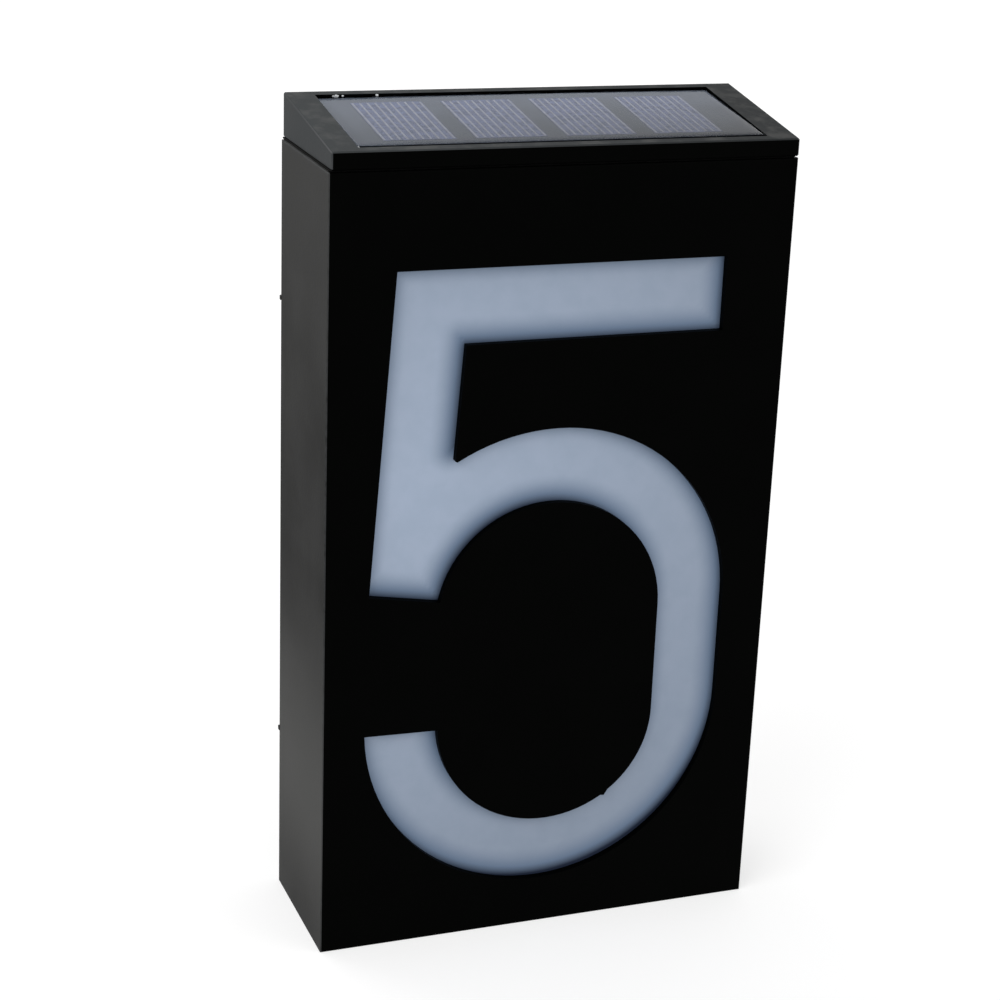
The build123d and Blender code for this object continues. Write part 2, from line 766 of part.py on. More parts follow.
with BuildPart() as battery_spring:
    with BuildSketch(Plane.YZ.offset(-tub_length / 2)):
        with Locations((cell_y, tub_height)):
            Rectangle(contact_rise, contact_width)
        with Locations((tub_floor_y + (cell_play - tail_reach) / 2, tub_height)):
            Rectangle(tail_reach + cell_play, tail_width)
    extrude(amount=contact_thickness)
    # The tongue leaves the plate near its top, bows out to the battery and comes back.
    with BuildSketch(Plane.XY.offset(tub_height)):
        with BuildLine():
            plate_x = contact_thickness - tub_length / 2
            root_y = cell_y + contact_rise / 2 - spring_root
            peak = (cell_left, cell_y)
            foot_y = cell_y - (root_y - cell_y)
            outer = ThreePointArc((plate_x, root_y), peak, (plate_x, foot_y))
            inner = ThreePointArc(
                (plate_x, foot_y + contact_thickness),
                (cell_left - contact_thickness, cell_y),
                (plate_x, root_y - contact_thickness),
            )
            Line(outer @ 1, inner @ 0)
            Line(inner @ 1, outer @ 0)
        make_face()
    extrude(amount=spring_width / 2, both=True)
save(battery_spring, "battery_spring")

# ---- battery door, its seal and its two captive screws ----
with BuildPart() as battery_door:
    with BuildSketch(behind(door_front)):
        with Locations((0, tub_height)):
            Rectangle(door_length, door_width)
    extrude(amount=-door_thickness)
    chamfer(battery_door.faces().sort_by(Axis.Y)[-1].edges(), door_edge)
    with Locations(*facing_rear(door_screws, cover_rear)):
        CounterBoreHole(screw_hole / 2, sink_diameter / 2, sink_depth, door_thickness)
save(battery_door, "battery_door")

with BuildPart() as door_seal:
    with BuildSketch(behind(cover_front)):
        with Locations((0, tub_height)):
            mouth_room = 2 * door_seal_gap
            Rectangle(
                tub_length + mouth_room + 2 * door_seal_width,
                tub_width + mouth_room + 2 * door_seal_width,
            )
            Rectangle(tub_length + mouth_room, tub_width + mouth_room, mode=Mode.SUBTRACT)
    extrude(amount=-(cover_thickness - door_thickness))
save(door_seal, "door_seal")

door_screw = screw(low_head_height, cover_thickness - sink_depth + screw_bite)
with BuildPart() as door_screw_set:
    with Locations(*facing_rear(door_screws, cover_rear - sink_depth)):
        add(door_screw)
save(door_screw_set, "battery_door_screws")

# ---- control board with its parts ----
with BuildPart() as control_board:
    with BuildSketch(behind(board_front)):
        with Locations((0, board_z)):
            Rectangle(board_width, board_height)
        with Locations(*board_screws):
            Circle(screw_hole / 2, mode=Mode.SUBTRACT)
    extrude(amount=-board_thickness)
save(control_board, "control_board")

board_screw = screw(head_height, board_thickness + screw_bite - screw_end_room)
with BuildPart() as board_screw_set:
    with Locations(*facing_front(board_screws, board_front)):
        add(board_screw)
save(board_screw_set, "control_board_screws")

with BuildPart() as choke:
    with BuildSketch(behind(board_front)):
        with Locations(choke_place):
            Rectangle(choke_size, choke_size)
    extrude(amount=choke_height)
    chamfer(choke.edges().filter_by(Axis.Y), choke_corner)
save(choke, "choke")

with BuildPart() as capacitor:
    with BuildSketch(behind(board_front)):
        with Locations(capacitor_place):
            Circle(capacitor_diameter / 2)
    extrude(amount=capacitor_height)
save(capacitor, "capacitor")

with BuildPart() as control_chip:
    with BuildSketch(behind(board_front)):
        with Locations(chip_place):
            Rectangle(chip_length, chip_width)
    extrude(amount=chip_height)
    with BuildSketch(behind(board_front)):
        with Locations(chip_place):
            with GridLocations(lug_pitch, 1, lug_count, 1):
                Rectangle(lug_width, chip_width + 2 * lug_length)
    extrude(amount=lug_thickness)
save(control_chip, "control_chip")

# ---- slide switch: body on the board's rear, sheet frame over it, knob through the cover ----
with BuildPart() as switch_body:
    with BuildSketch(behind(board_rear)):
        with Locations((0, board_z)):
            Rectangle(switch_length, switch_width)
    extrude(amount=-switch_height)
    with BuildSketch(behind(switch_rear)):
        with Locations((0, board_z)):
            Rectangle(slot_length + 2 * knob_foot, slot_width + 2 * knob_foot)
    extrude(amount=switch_channel, mode=Mode.SUBTRACT)
save(switch_body, "switch_body")

with BuildPart() as switch_frame:
    with BuildSketch(behind(switch_rear)):
        with Locations((0, board_z)):
            Rectangle(switch_length, switch_width + 2 * switch_skin)
            Rectangle(slot_length, slot_width, mode=Mode.SUBTRACT)
    extrude(amount=-switch_skin)
    with BuildSketch(behind(switch_rear)):
        with Locations((0, board_z)):
            with GridLocations(1, switch_width + switch_skin, 1, 2):
                Rectangle(tab_length, switch_skin)
    extrude(amount=tab_reach)
save(switch_frame, "switch_frame")

with BuildPart() as switch_knob:
    with BuildSketch(behind(foot_rear)):
        with Locations((knob_x, board_z)):
            Rectangle(knob_length + 2 * knob_foot, knob_width + 2 * knob_foot)
    extrude(amount=switch_channel - 2 * knob_play)
    with BuildSketch(behind(foot_rear)):
        with Locations((knob_x, board_z)):
            Rectangle(knob_length, knob_width)
    extrude(amount=foot_rear - knob_rear)
    with BuildSketch(behind(knob_rear)):
        with Locations((knob_x, board_z)):
            with GridLocations(grip_pitch, 1, grip_count, 1):
                Rectangle(grip_width, knob_width)
    extrude(amount=grip_depth, mode=Mode.SUBTRACT)
save(switch_knob, "switch_knob")

# ---- top cap: a wedge with a pocket for the panel, hollow under it, hooked at the front ----
hollow_sink = pocket_sink + cap_floor
hollow_front = cap_solid - depth / 2
hollow_rear = depth / 2 - cap_wall

with BuildPart() as top_cap:
    with BuildSketch(Plane.YZ.offset(cap_shift)):
        with BuildLine():
            Polyline(
                (-depth / 2, cap_base),
                (depth / 2, cap_base),
                (depth / 2, cap_base + cap_rear),
                (-depth / 2, cap_base + cap_front),
                close=True,
            )
        make_face()
    extrude(amount=cap_width / 2, both=True)
    chamfer(top_cap.edges(), cap_edge)

    with BuildSketch(Plane.YZ.offset(cap_shift)):
        with BuildLine():
            Polyline(
                (hollow_front, cap_base),
                (hollow_rear, cap_base),
                (hollow_rear, ceiling(hollow_rear, hollow_sink)),
                (hollow_front, ceiling(hollow_front, hollow_sink)),
                close=True,
            )
        make_face()
    extrude(amount=cap_width / 2 - cap_wall, both=True, mode=Mode.SUBTRACT)

    # Bosses for the two screws from under the deck, up into the cap's ceiling.
    with BuildSketch(Plane.XY.offset(cap_base)):
        with Locations(*cap_screws):
            Circle(boss_diameter / 2)
    extrude(until=Until.NEXT)
    with BuildSketch(Plane.XY.offset(cap_base)):
        with Locations(*cap_screws):
            RegularPolygon(screw_core / 2, shank_sides, major_radius=False)
    extrude(amount=cap_bite + screw_end_room / 2, mode=Mode.SUBTRACT)

    # Hooks that slide forward under the deck.
    for side in (-1, 1):
        with BuildSketch(Plane.YZ.offset(side * hook_spacing / 2)):
            with BuildLine():
                lip_top = inner_top - hook_fit
                Polyline(
                    (hook_front, cap_base + hook_root),
                    (hook_front + hook_thickness, cap_base + hook_root),
                    (hook_front + hook_thickness, lip_top - hook_lip),
                    (hook_front - hook_reach, lip_top - hook_lip),
                    (hook_front - hook_reach, lip_top),
                    (hook_front, lip_top),
                    close=True,
                )
            make_face()
        extrude(amount=hook_width / 2, both=True)

    with BuildSketch(above_slope(-pocket_sink)):
        with Locations((0, pocket_middle)):
            Rectangle(pocket_width, pocket_length)
    extrude(amount=cap_rear, mode=Mode.SUBTRACT)
    with BuildSketch(Plane.XY.offset(cap_base)):
        with Locations(lead_place):
            Circle(lead_bore / 2)
    extrude(amount=cap_rear, mode=Mode.SUBTRACT)
save(top_cap, "top_cap")

with BuildPart() as cap_seal:
    with BuildSketch(Plane.XY.offset(height)):
        seal_middle = (cap_seal_front - cap_seal_rear) / 2
        seal_across = cap_width - 2 * cap_seal_side
        seal_back = depth - cap_seal_front - cap_seal_rear
        with Locations((cap_shift, seal_middle)):
            Rectangle(seal_across, seal_back)
            Rectangle(
                seal_across - 2 * cap_seal_width,
                seal_back - 2 * cap_seal_width,
                mode=Mode.SUBTRACT,
            )
    extrude(amount=cap_seam)
save(cap_seal, "cap_seal")

cap_screw = screw(head_height, wall + cap_seam + cap_bite)
with BuildPart() as cap_screw_set:
    with Locations(
        *[
            Location(Plane(origin=(x, y, inner_top), x_dir=(1, 0, 0), z_dir=(0, 0, -1)))
            for x, y in cap_screws
        ]
    ):
        add(cap_screw)
save(cap_screw_set, "cap_screws")

# ---- solar panel: tape, board, four cells and the clear cover that bows up a little ----
with BuildPart() as panel_tape:
    with BuildSketch(above_slope(-pocket_sink)):
        with Locations((0, panel_middle)):
            Rectangle(panel_width, panel_length)
            Rectangle(
                panel_width - 2 * tape_width, panel_length - 2 * tape_width, mode=Mode.SUBTRACT
            )
    extrude(amount=tape_thickness)
save(panel_tape, "panel_tape")

with BuildPart() as panel_board:
    with BuildSketch(above_slope(tape_thickness - pocket_sink)):
        with Locations((0, panel_middle)):
            Rectangle(panel_width, panel_length)
    extrude(amount=board_layer)
save(panel_board, "panel_board")

solar_base = above_slope(-panel_sink - cover_layer)
with BuildPart() as solar_cells:
    with BuildSketch(solar_base):
        with Locations((solar_shift, panel_middle + solar_rise)):
            with GridLocations(solar_pitch, 1, solar_count, 1):
                Rectangle(solar_width, solar_length)
    extrude(amount=solar_thickness)
save(solar_cells, "solar_cells")

tilt = radians(cap_pitch)
across = Plane(origin=above_slope(0).origin, x_dir=(1, 0, 0), z_dir=(0, -cos(tilt), -sin(tilt)))
with BuildPart() as panel_cover:
    with BuildSketch(across.offset(-panel_middle)):
        with BuildLine():
            foot_level = -panel_sink - cover_layer
            Polyline(
                (-panel_width / 2, -panel_sink),
                (-panel_width / 2, foot_level),
                (panel_width / 2, foot_level),
                (panel_width / 2, -panel_sink),
            )
            ThreePointArc(
                (panel_width / 2, -panel_sink),
                (0, panel_crown - panel_sink),
                (-panel_width / 2, -panel_sink),
            )
        make_face()
    extrude(amount=panel_length / 2, both=True)
    with BuildSketch(solar_base):
        with Locations((solar_shift, panel_middle + solar_rise)):
            with GridLocations(solar_pitch, 1, solar_count, 1):
                Rectangle(solar_width + 2 * solar_room, solar_length + 2 * solar_room)
    extrude(amount=solar_thickness, mode=Mode.SUBTRACT)
save(panel_cover, "panel_cover")

# ---- grommet in the deck, round the panel's leads: a barrel with a collar on top ----
with BuildPart() as lead_grommet:
    with BuildSketch(Plane.XY.offset(inner_top)):
        with Locations(lead_place):
            Circle(lead_hole / 2 - grommet_fit)
    extrude(amount=wall)
    with BuildSketch(Plane.XY.offset(height)):
        with Locations(lead_place):
            Circle(lead_hole / 2 + grommet_lip)
    extrude(amount=grommet_collar)
    with BuildSketch(Plane.XY.offset(inner_top)):
        with Locations(lead_place):
            Circle(lead_bore / 2)
    extrude(amount=wall + grommet_collar, mode=Mode.SUBTRACT)
save(lead_grommet, "lead_grommet")


# ---- flat twin leads ----
def lead(across, *points):
    """Solid of one flat lead along these points, its width along the given direction."""
    with BuildPart() as strand:
        with BuildLine() as route:
            FilletPolyline(*points, radius=lead_bend)
        with BuildSketch(Plane(origin=route.line @ 0, x_dir=across, z_dir=route.line % 0)):
            Rectangle(lead_width, lead_thickness)
        sweep(path=route.line)
    return strand.part


board_y = board_front - depth / 2
panel_under = panel_sink + cover_layer + board_layer
board_row = board_z + board_height / 2 - lead_inset
panel_strand = lead(
    (1, 0, 0),
    (lead_x, lead_y, ceiling(lead_y - lead_thickness / 2, panel_under)),
    (lead_x, lead_y, board_row),
    (lead_x, board_y, board_row),
)
with BuildPart() as panel_leads:
    add(panel_strand)
save(panel_leads, "panel_leads")

# From the contacts' tails up behind the light tray, then back to the board.
gap_y = tub_floor_y - tub_wall - wire_room / 2
battery_strands = []
for side in (-1, 1):
    x = side * (tub_length / 2 - contact_thickness - lead_width / 2)
    battery_strands.append(
        lead(
            (1, 0, 0),
            (x, gap_y, tub_height),
            (x, gap_y, lead_row),
            (x, board_y, lead_row),
        )
    )
with BuildPart() as battery_leads:
    add(battery_strands)
save(battery_leads, "battery_leads")

# From each light strip along the tray's floor, out through its hole, back to the board.
strand_y = tray_floor - lead_thickness / 2 - depth / 2
led_strands = []
for side in (-1, 1):
    led_strands.append(
        lead(
            (0, 0, 1),
            (sheet_x + side * (strip_spacing - strip_width) / 2, strand_y, lead_row),
            (sheet_x + side * lead_split / 2, strand_y, lead_row),
            (sheet_x + side * lead_split / 2, board_y, lead_row),
        )
    )
with BuildPart() as led_leads:
    add(led_strands)
save(led_leads, "led_leads")
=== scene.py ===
"""Looks for the solar house number sign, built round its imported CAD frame.

The moulded box, its cap, rear cover and small inner parts keep their CAD shapes and get finishes.
The opal sheet, the panel's clear cover, the cells' fingers, the glue, the cap's gasket, the
screws and the battery are surfaces worked out here. Metres, +Z up, +X to the viewer's right, +Y
into the wall."""

from math import atan2, cos, pi, radians, sin

import bpy
import numpy as np
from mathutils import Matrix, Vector


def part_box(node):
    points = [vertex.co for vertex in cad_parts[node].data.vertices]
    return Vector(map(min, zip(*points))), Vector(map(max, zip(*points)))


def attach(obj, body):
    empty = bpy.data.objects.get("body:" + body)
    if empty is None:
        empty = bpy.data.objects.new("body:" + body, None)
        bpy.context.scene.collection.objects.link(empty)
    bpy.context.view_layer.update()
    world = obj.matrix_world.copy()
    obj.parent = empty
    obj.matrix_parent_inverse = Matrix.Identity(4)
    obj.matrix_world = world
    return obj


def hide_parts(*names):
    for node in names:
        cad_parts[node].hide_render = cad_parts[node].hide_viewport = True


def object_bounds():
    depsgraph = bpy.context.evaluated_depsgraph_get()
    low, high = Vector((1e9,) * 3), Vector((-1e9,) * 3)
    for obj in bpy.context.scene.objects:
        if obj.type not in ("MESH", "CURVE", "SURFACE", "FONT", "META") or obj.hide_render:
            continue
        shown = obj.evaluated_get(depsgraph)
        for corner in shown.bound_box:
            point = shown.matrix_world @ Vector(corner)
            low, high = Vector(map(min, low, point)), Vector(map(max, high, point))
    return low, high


bl_info = {
    "name": "Solar house number sign",
    "version": (1, 0, 0),
    "blender": (4, 5, 0),
    "location": "3D View > Sidebar > House number",
    "description": "Finishes, fine pieces and stage for a solar house number sign",
    "category": "Object",
}

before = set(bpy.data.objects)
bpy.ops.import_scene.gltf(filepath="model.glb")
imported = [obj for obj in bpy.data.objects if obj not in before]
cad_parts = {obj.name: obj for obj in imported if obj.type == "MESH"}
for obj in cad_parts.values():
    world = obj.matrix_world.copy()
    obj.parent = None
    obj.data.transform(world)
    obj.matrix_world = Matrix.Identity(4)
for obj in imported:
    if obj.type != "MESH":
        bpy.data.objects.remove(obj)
CAD_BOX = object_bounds()

MM = 0.001
BODY = "box"
DOOR = "battery_door"

# The cap's top is a plane that rises from front to rear; its pieces are set out on it.
CAP_SEAM = 0.4 * MM
CAP_FRONT_HEIGHT = 4.0 * MM
HOUSING_LOW, HOUSING_HIGH = np.array(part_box("housing"))
CAP_LOW, CAP_HIGH = np.array(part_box("top_cap"))
FRONT_Y = HOUSING_LOW[1]
CAP_BASE = CAP_SEAM + HOUSING_HIGH[2]
CAP_FRONT_TOP = CAP_FRONT_HEIGHT + CAP_BASE
CAP_TILT = atan2(CAP_HIGH[2] - CAP_FRONT_TOP, HOUSING_HIGH[1] - FRONT_Y)
SLOPE_Y = (FRONT_Y + HOUSING_HIGH[1]) / 2
SLOPE_Z = (CAP_FRONT_TOP + CAP_HIGH[2]) / 2


# ---------------------------------------------------------------- settings


def colour_setting(name, description, default):
    """Colour that the user can change."""
    return bpy.props.FloatVectorProperty(
        name=name, description=description, subtype="COLOR", size=3, min=0, max=1, default=default
    )


def length_setting(name, description, default, least, most):
    """Length in metres that the user can change between two limits."""
    return bpy.props.FloatProperty(
        name=name,
        description=description,
        subtype="DISTANCE",
        unit="LENGTH",
        min=least,
        max=most,
        default=default,
    )


class ShellSettings(bpy.types.PropertyGroup):
    """Finish of the moulded box and cap."""

    side_colour: colour_setting("Side colour", "Grained sides, cap and rear", (0.034, 0.034, 0.033))
    # Painted shade: the front face, the numeral's cut walls, the cap's front and the pocket walls are
    # painted near black, darker than the same plastic on the sides.
    front_shade_colour: colour_setting(
        "Face colour", "Painted shade on the front face round the numeral", (0.0004, 0.0005, 0.0004)
    )
    # Painted highlight: the box's edges and the cap's sloping side edges are painted in this lighter
    # tone.
    highlight_colour: colour_setting(
        "Highlight colour", "Corners and edges painted with a highlight", (0.085, 0.088, 0.092)
    )
    grain: length_setting("Grain size", "Size of the moulded grain", 0.0006, 0.0001, 0.01)
    grain_depth: length_setting("Grain depth", "How deep the moulded grain stands", 0.00004, 0, 0.001)


class SheetSettings(bpy.types.PropertyGroup):
    """Opal sheet behind the numeral."""

    middle_colour: colour_setting(
        "Middle colour", "Opal sheet in the middle of a stroke", (0.262, 0.316, 0.405)
    )
    shade_colour: colour_setting(
        "Shade colour", "Opal sheet part way into the front wall's shade", (0.112, 0.157, 0.232)
    )
    edge_colour: colour_setting(
        "Edge colour", "Opal sheet where the front wall shades it most", (0.010, 0.015, 0.030)
    )
    glow: bpy.props.FloatProperty(
        name="Glow", description="Light that comes through the sheet", min=0, max=5, default=0.35
    )
    edge_reach: length_setting(
        "Edge reach", "How far the shade runs in from the numeral's outline", 0.0071, 0.0001, 0.02
    )
    shade_side: length_setting(
        "Shade to the right",
        "How much wider the shade is at right edges than at left ones, halved",
        0.00115,
        0,
        0.01,
    )
    shade_drop: length_setting(
        "Shade below",
        "How much wider the shade is at lower edges than at upper ones, halved, at the foot; it "
        "grows less towards the top",
        0.0026,
        0,
        0.01,
    )
    spacing: length_setting("Grid spacing", "Spacing of the sheet's points", 0.001, 0.0005, 0.01)


class PanelSettings(bpy.types.PropertyGroup):
    """Solar panel under its clear cover."""

    finger_count: bpy.props.IntProperty(
        name="Fingers", description="Printed fingers on each cell", min=1, max=40, default=10
    )
    finger_pitch: length_setting("Finger pitch", "Spacing of the fingers", 0.00175, 0.0002, 0.01)
    finger_width: length_setting("Finger width", "Width of a finger", 0.0005, 0.00005, 0.005)
    finger_colour: colour_setting("Finger colour", "Silver print of the fingers", (0.285, 0.296, 0.34))
    cell_colour: colour_setting("Cell colour", "Silicon between the fingers", (0.132, 0.154, 0.236))
    board_colour: colour_setting("Board colour", "Panel's board round the cells", (0.125, 0.143, 0.176))
    crown: length_setting(
        "Crown", "How much the clear cover bows up along the middle of its rear", 0.0002, 0, 0.003
    )
    tilt: length_setting(
        "Tilt", "How much deeper the clear cover lies at its rear than at its front", 0.0005, 0, 0.003
    )
    twist: length_setting(
        "Twist", "How much deeper its left rear corner lies than its right one", 0.00015, 0, 0.003
    )


class ScrewSettings(bpy.types.PropertyGroup):
    """Small cross-head screws."""

    recess_width: length_setting(
        "Recess width", "Width of the cross recess's arms", 0.00068, 0.0001, 0.005
    )
    recess_span: length_setting("Recess span", "Tip to tip of the cross recess", 0.0026, 0.0005, 0.01)
    thread_pitch: length_setting("Thread pitch", "Spacing of the thread's turns", 0.0009, 0.0002, 0.005)


class StageSettings(bpy.types.PropertyGroup):
    """Camera, lamps and floor."""

    lens: bpy.props.FloatProperty(
        name="Lens",
        description="Focal length on a 36 mm wide sensor",
        unit="CAMERA",
        min=10,
        max=300,
        default=84.973,
    )
    camera_place: bpy.props.FloatVectorProperty(
        name="Camera",
        description="Where the camera stands",
        subtype="TRANSLATION",
        unit="LENGTH",
        size=3,
        default=(-0.192895, -0.492875, 0.286506),
    )
    camera_turn: bpy.props.FloatVectorProperty(
        name="Camera turn",
        description="The camera's turns about X, Y and Z",
        subtype="EULER",
        unit="ROTATION",
        size=3,
        default=(radians(69.340), radians(-2.461), radians(-20.972)),
    )
    shift: bpy.props.FloatVectorProperty(
        name="Shift",
        description="Lens shift that keeps the photograph's framing",
        size=2,
        default=(-0.0435, 0.0620),
    )
    room_light: bpy.props.FloatProperty(
        name="Room light",
        description="Level of the soft light from all round",
        min=0,
        max=10,
        default=0.7,
    )


# ---------------------------------------------------------------- mesh helpers


def node_points(node):
    """Points of a CAD node's mesh, a row each."""
    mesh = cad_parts[node].data
    points = np.empty(len(mesh.vertices) * 3)
    mesh.vertices.foreach_get("co", points)
    return points.reshape(-1, 3)


def grid_faces(rows, columns, wrap=False):
    """Four-sided faces of a grid of points that are numbered row after row; where wrap is set,
    the last column joins the first."""
    across = columns if wrap else columns - 1
    row = np.arange(rows - 1)[:, None] * columns
    left = np.arange(across)[None, :]
    right = (left + 1) % columns
    ends = (row + left, row + right, row + columns + right, row + columns + left)
    return np.stack(ends, axis=-1).reshape(-1, 4)


def slab(top, bottom):
    """Points and faces of a slab between two grids of points: all of the top, sides, and one
    flat face on the bottom's border. Also the numbers of the border's points in a grid."""
    rows, columns = top.shape[:2]
    numbers = np.arange(rows * columns).reshape(rows, columns)
    border = np.concatenate(
        [numbers[0, :-1], numbers[:-1, -1], numbers[-1, :0:-1], numbers[:0:-1, 0]]
    )
    lower = rows * columns + np.arange(len(border))
    sides = np.stack([np.roll(border, -1), border, lower, np.roll(lower, -1)], axis=-1)
    faces = grid_faces(rows, columns).tolist() + sides.tolist() + [lower[::-1].tolist()]
    points = np.concatenate([top.reshape(-1, 3), bottom.reshape(-1, 3)[border]])
    return points, faces, border


def link_new(name, data):
    """New object that shows this data, linked into the scene."""
    made = bpy.data.objects.new(name, data)
    bpy.context.scene.collection.objects.link(made)
    return made


def make_piece(name, points, faces, body, material, smooth=None, values=None):
    """A mesh object at the origin from points in metres and faces as lists of point numbers.
    smooth is the angle in degrees under which edges look rounded, and values maps the name of
    a point attribute to its numbers. It rides on the body and takes the slot's finish."""
    mesh = bpy.data.meshes.new(name)
    mesh.from_pydata(np.asarray(points, float).tolist(), [], [list(face) for face in faces])
    mesh.validate()
    for key, numbers in (values or {}).items():
        layer = mesh.attributes.new(key, "FLOAT", "POINT")
        layer.data.foreach_set("value", np.asarray(numbers, np.float32))
    if smooth is not None:
        mesh.shade_smooth()
        mesh.set_sharp_from_angle(angle=radians(smooth))
    piece = link_new(name, mesh)
    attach(piece, body)
    mesh.materials.append(material)
    return piece


def join_parts(parts):
    """One set of points and faces from several (points, faces) pairs."""
    points = np.concatenate([part[0] for part in parts])
    starts = np.cumsum([0] + [len(part[0]) for part in parts[:-1]])
    faces = [[start + i for i in face] for start, part in zip(starts, parts) for face in part[1]]
    return points, faces


def full_turn(count):
    """This many even angles round a full turn."""
    return np.linspace(0, 2 * pi, count, endpoint=False)


def turned(rings, angles):
    """Surface of a profile turned about Z. rings is an array of (radius, height) for every
    ring and angle, and its first and last rings have no radius, so each closes in one point.
    A point is radius times the cosine and sine of its angle, at its height."""
    count = len(angles)
    radius, height = rings[..., 0], rings[..., 1]
    grid = np.stack([radius * np.cos(angles), radius * np.sin(angles), height], axis=-1)
    inner = grid[1:-1].reshape(-1, 3)
    points = np.concatenate([inner, grid[[0, -1]].mean(axis=1)])
    rows = len(rings) - 2
    faces = grid_faces(rows, count, wrap=True)[:, ::-1].tolist()
    around = np.arange(count)
    after = (around + 1) % count
    tail = (rows - 1) * count
    top, bottom = len(inner), len(inner) + 1
    faces += np.stack([around, after, np.full(count, top)], axis=-1).tolist()
    faces += np.stack([tail + after, tail + around, np.full(count, bottom)], axis=-1).tolist()
    return points, faces


def turned_profile(profile, count):
    """Surface of one profile of (radius, height) rows, turned about Z in this many steps."""
    rings = np.broadcast_to(np.array(profile)[:, None, :], (len(profile), count, 2))
    return turned(rings, full_turn(count))


def placed(points, origin, across, outward):
    """Points set down with their X along across and their Z along outward, from origin."""
    across, outward = np.asarray(across, float), np.asarray(outward, float)
    upward = np.cross(outward, across)
    return np.asarray(origin) + points @ np.stack([across, upward, outward])


def on_slope(across, along, above):
    """Points in metres from places on the cap's top: across is X, along runs up the slope from
    its middle, and above stands off it."""
    y = SLOPE_Y + along * cos(CAP_TILT) - above * sin(CAP_TILT)
    z = SLOPE_Z + along * sin(CAP_TILT) + above * cos(CAP_TILT)
    return np.stack(np.broadcast_arrays(across, y, z), axis=-1)


def slope_corners(node):
    """Low and high corner of a node that lies on the slope: across, along and above."""
    x, y, z = node_points(node).T
    y, z = y - SLOPE_Y, z - SLOPE_Z
    along = y * cos(CAP_TILT) + z * sin(CAP_TILT)
    above = z * cos(CAP_TILT) - y * sin(CAP_TILT)
    local = np.stack([x, along, above], axis=-1)
    return local.min(axis=0), local.max(axis=0)


# ---------------------------------------------------------------- node helpers


def add_node(tree, kind, sockets=None, **options):
    """Add a node, set its options and fill its sockets, by value or by a link."""
    made = tree.nodes.new(kind)
    for key, value in options.items():
        setattr(made, key, value)
    for key, value in (sockets or {}).items():
        if isinstance(value, bpy.types.NodeSocket):
            tree.links.new(value, made.inputs[key])
        else:
            made.inputs[key].default_value = value
    return made


def maths(tree, operation, *values, clamp=False):
    """Output of a maths node that takes these values."""
    options = {"operation": operation, "use_clamp": clamp}
    return add_node(tree, "ShaderNodeMath", dict(enumerate(values)), **options).outputs[0]


def product(tree, first, *others):
    """Product of several values."""
    for other in others:
        first = maths(tree, "MULTIPLY", first, other)
    return first


def hypotenuse(tree, first, second):
    """Root of the sum of two squares."""
    squares = maths(tree, "ADD", product(tree, first, first), product(tree, second, second))
    return maths(tree, "SQRT", squares)


def within(tree, value, low, high):
    """One where the value lies between low and high, else nothing."""
    return maths(tree, "COMPARE", value, (low + high) / 2, (high - low) / 2)


def ramp(tree, value, low, high, start=0.0, end=1.0, kind="SMOOTHSTEP"):
    """Value carried from the range low to high onto start to end."""
    sockets = {"Value": value, 1: low, 2: high, 3: start, 4: end}
    return add_node(tree, "ShaderNodeMapRange", sockets, interpolation_type=kind).outputs[0]


def vector_maths(tree, operation, sockets, output=0):
    """Output of a vector maths node."""
    return add_node(tree, "ShaderNodeVectorMath", sockets, operation=operation).outputs[output]


def scaled(tree, colour, level):
    """Colour times a level."""
    return vector_maths(tree, "SCALE", {0: colour, "Scale": level})


def axes(tree, vector):
    """X, Y and Z of a vector, or the three parts of a colour."""
    return add_node(tree, "ShaderNodeSeparateXYZ", {0: vector}).outputs


def blend(tree, factor, first, second):
    """Colour that goes from the first to the second as the factor goes from 0 to 1."""
    first, second = (
        colour if isinstance(colour, bpy.types.NodeSocket) else (*colour, 1.0)
        for colour in (first, second)
    )
    sockets = {0: factor, 6: first, 7: second}
    return add_node(tree, "ShaderNodeMix", sockets, data_type="RGBA").outputs[2]


def tones(colour, share):
    """Two tones, darker and lighter than a colour by this share of it."""
    return np.array(colour) * (1 - share), np.array(colour) * (1 + share)


def object_place(tree):
    """Object coordinates."""
    return add_node(tree, "ShaderNodeTexCoord").outputs["Object"]


def point_value(tree, name):
    """Value of a point attribute."""
    return add_node(tree, "ShaderNodeAttribute", attribute_name=name).outputs["Fac"]


def noise(tree, place, scale, detail, roughness=0.5):
    """Value of a noise texture."""
    sockets = {"Vector": place, "Scale": scale, "Detail": detail, "Roughness": roughness}
    return add_node(tree, "ShaderNodeTexNoise", sockets).outputs[0]


def group_node(tree, name, **sockets):
    """Outputs of a shared node group, placed in a material with its own values."""
    sockets = {key.replace("_", " "): value for key, value in sockets.items()}
    return add_node(
        tree, "ShaderNodeGroup", sockets, node_tree=bpy.data.node_groups[name]
    ).outputs


def grain_parts(tree, mottle_size, size=0.0005):
    """Outputs of the shared grain at the object's own place."""
    place = object_place(tree)
    return group_node(tree, "Moulded grain", Place=place, Size=size, Mottle_size=mottle_size)


def new_group(name, inputs, outputs):
    """Empty node group, and the sockets of its two end nodes. inputs maps each name to its
    default, or to None for a vector; the outputs are values."""
    group = bpy.data.node_groups.new(name, "ShaderNodeTree")
    for socket, default in inputs.items():
        kind = "NodeSocketVector" if default is None else "NodeSocketFloat"
        made = group.interface.new_socket(socket, in_out="INPUT", socket_type=kind)
        if default is not None:
            made.default_value = default
    for socket in outputs:
        group.interface.new_socket(socket, in_out="OUTPUT", socket_type="NodeSocketFloat")
    start, end = group.nodes.new("NodeGroupInput"), group.nodes.new("NodeGroupOutput")
    return group, start.outputs, end.inputs


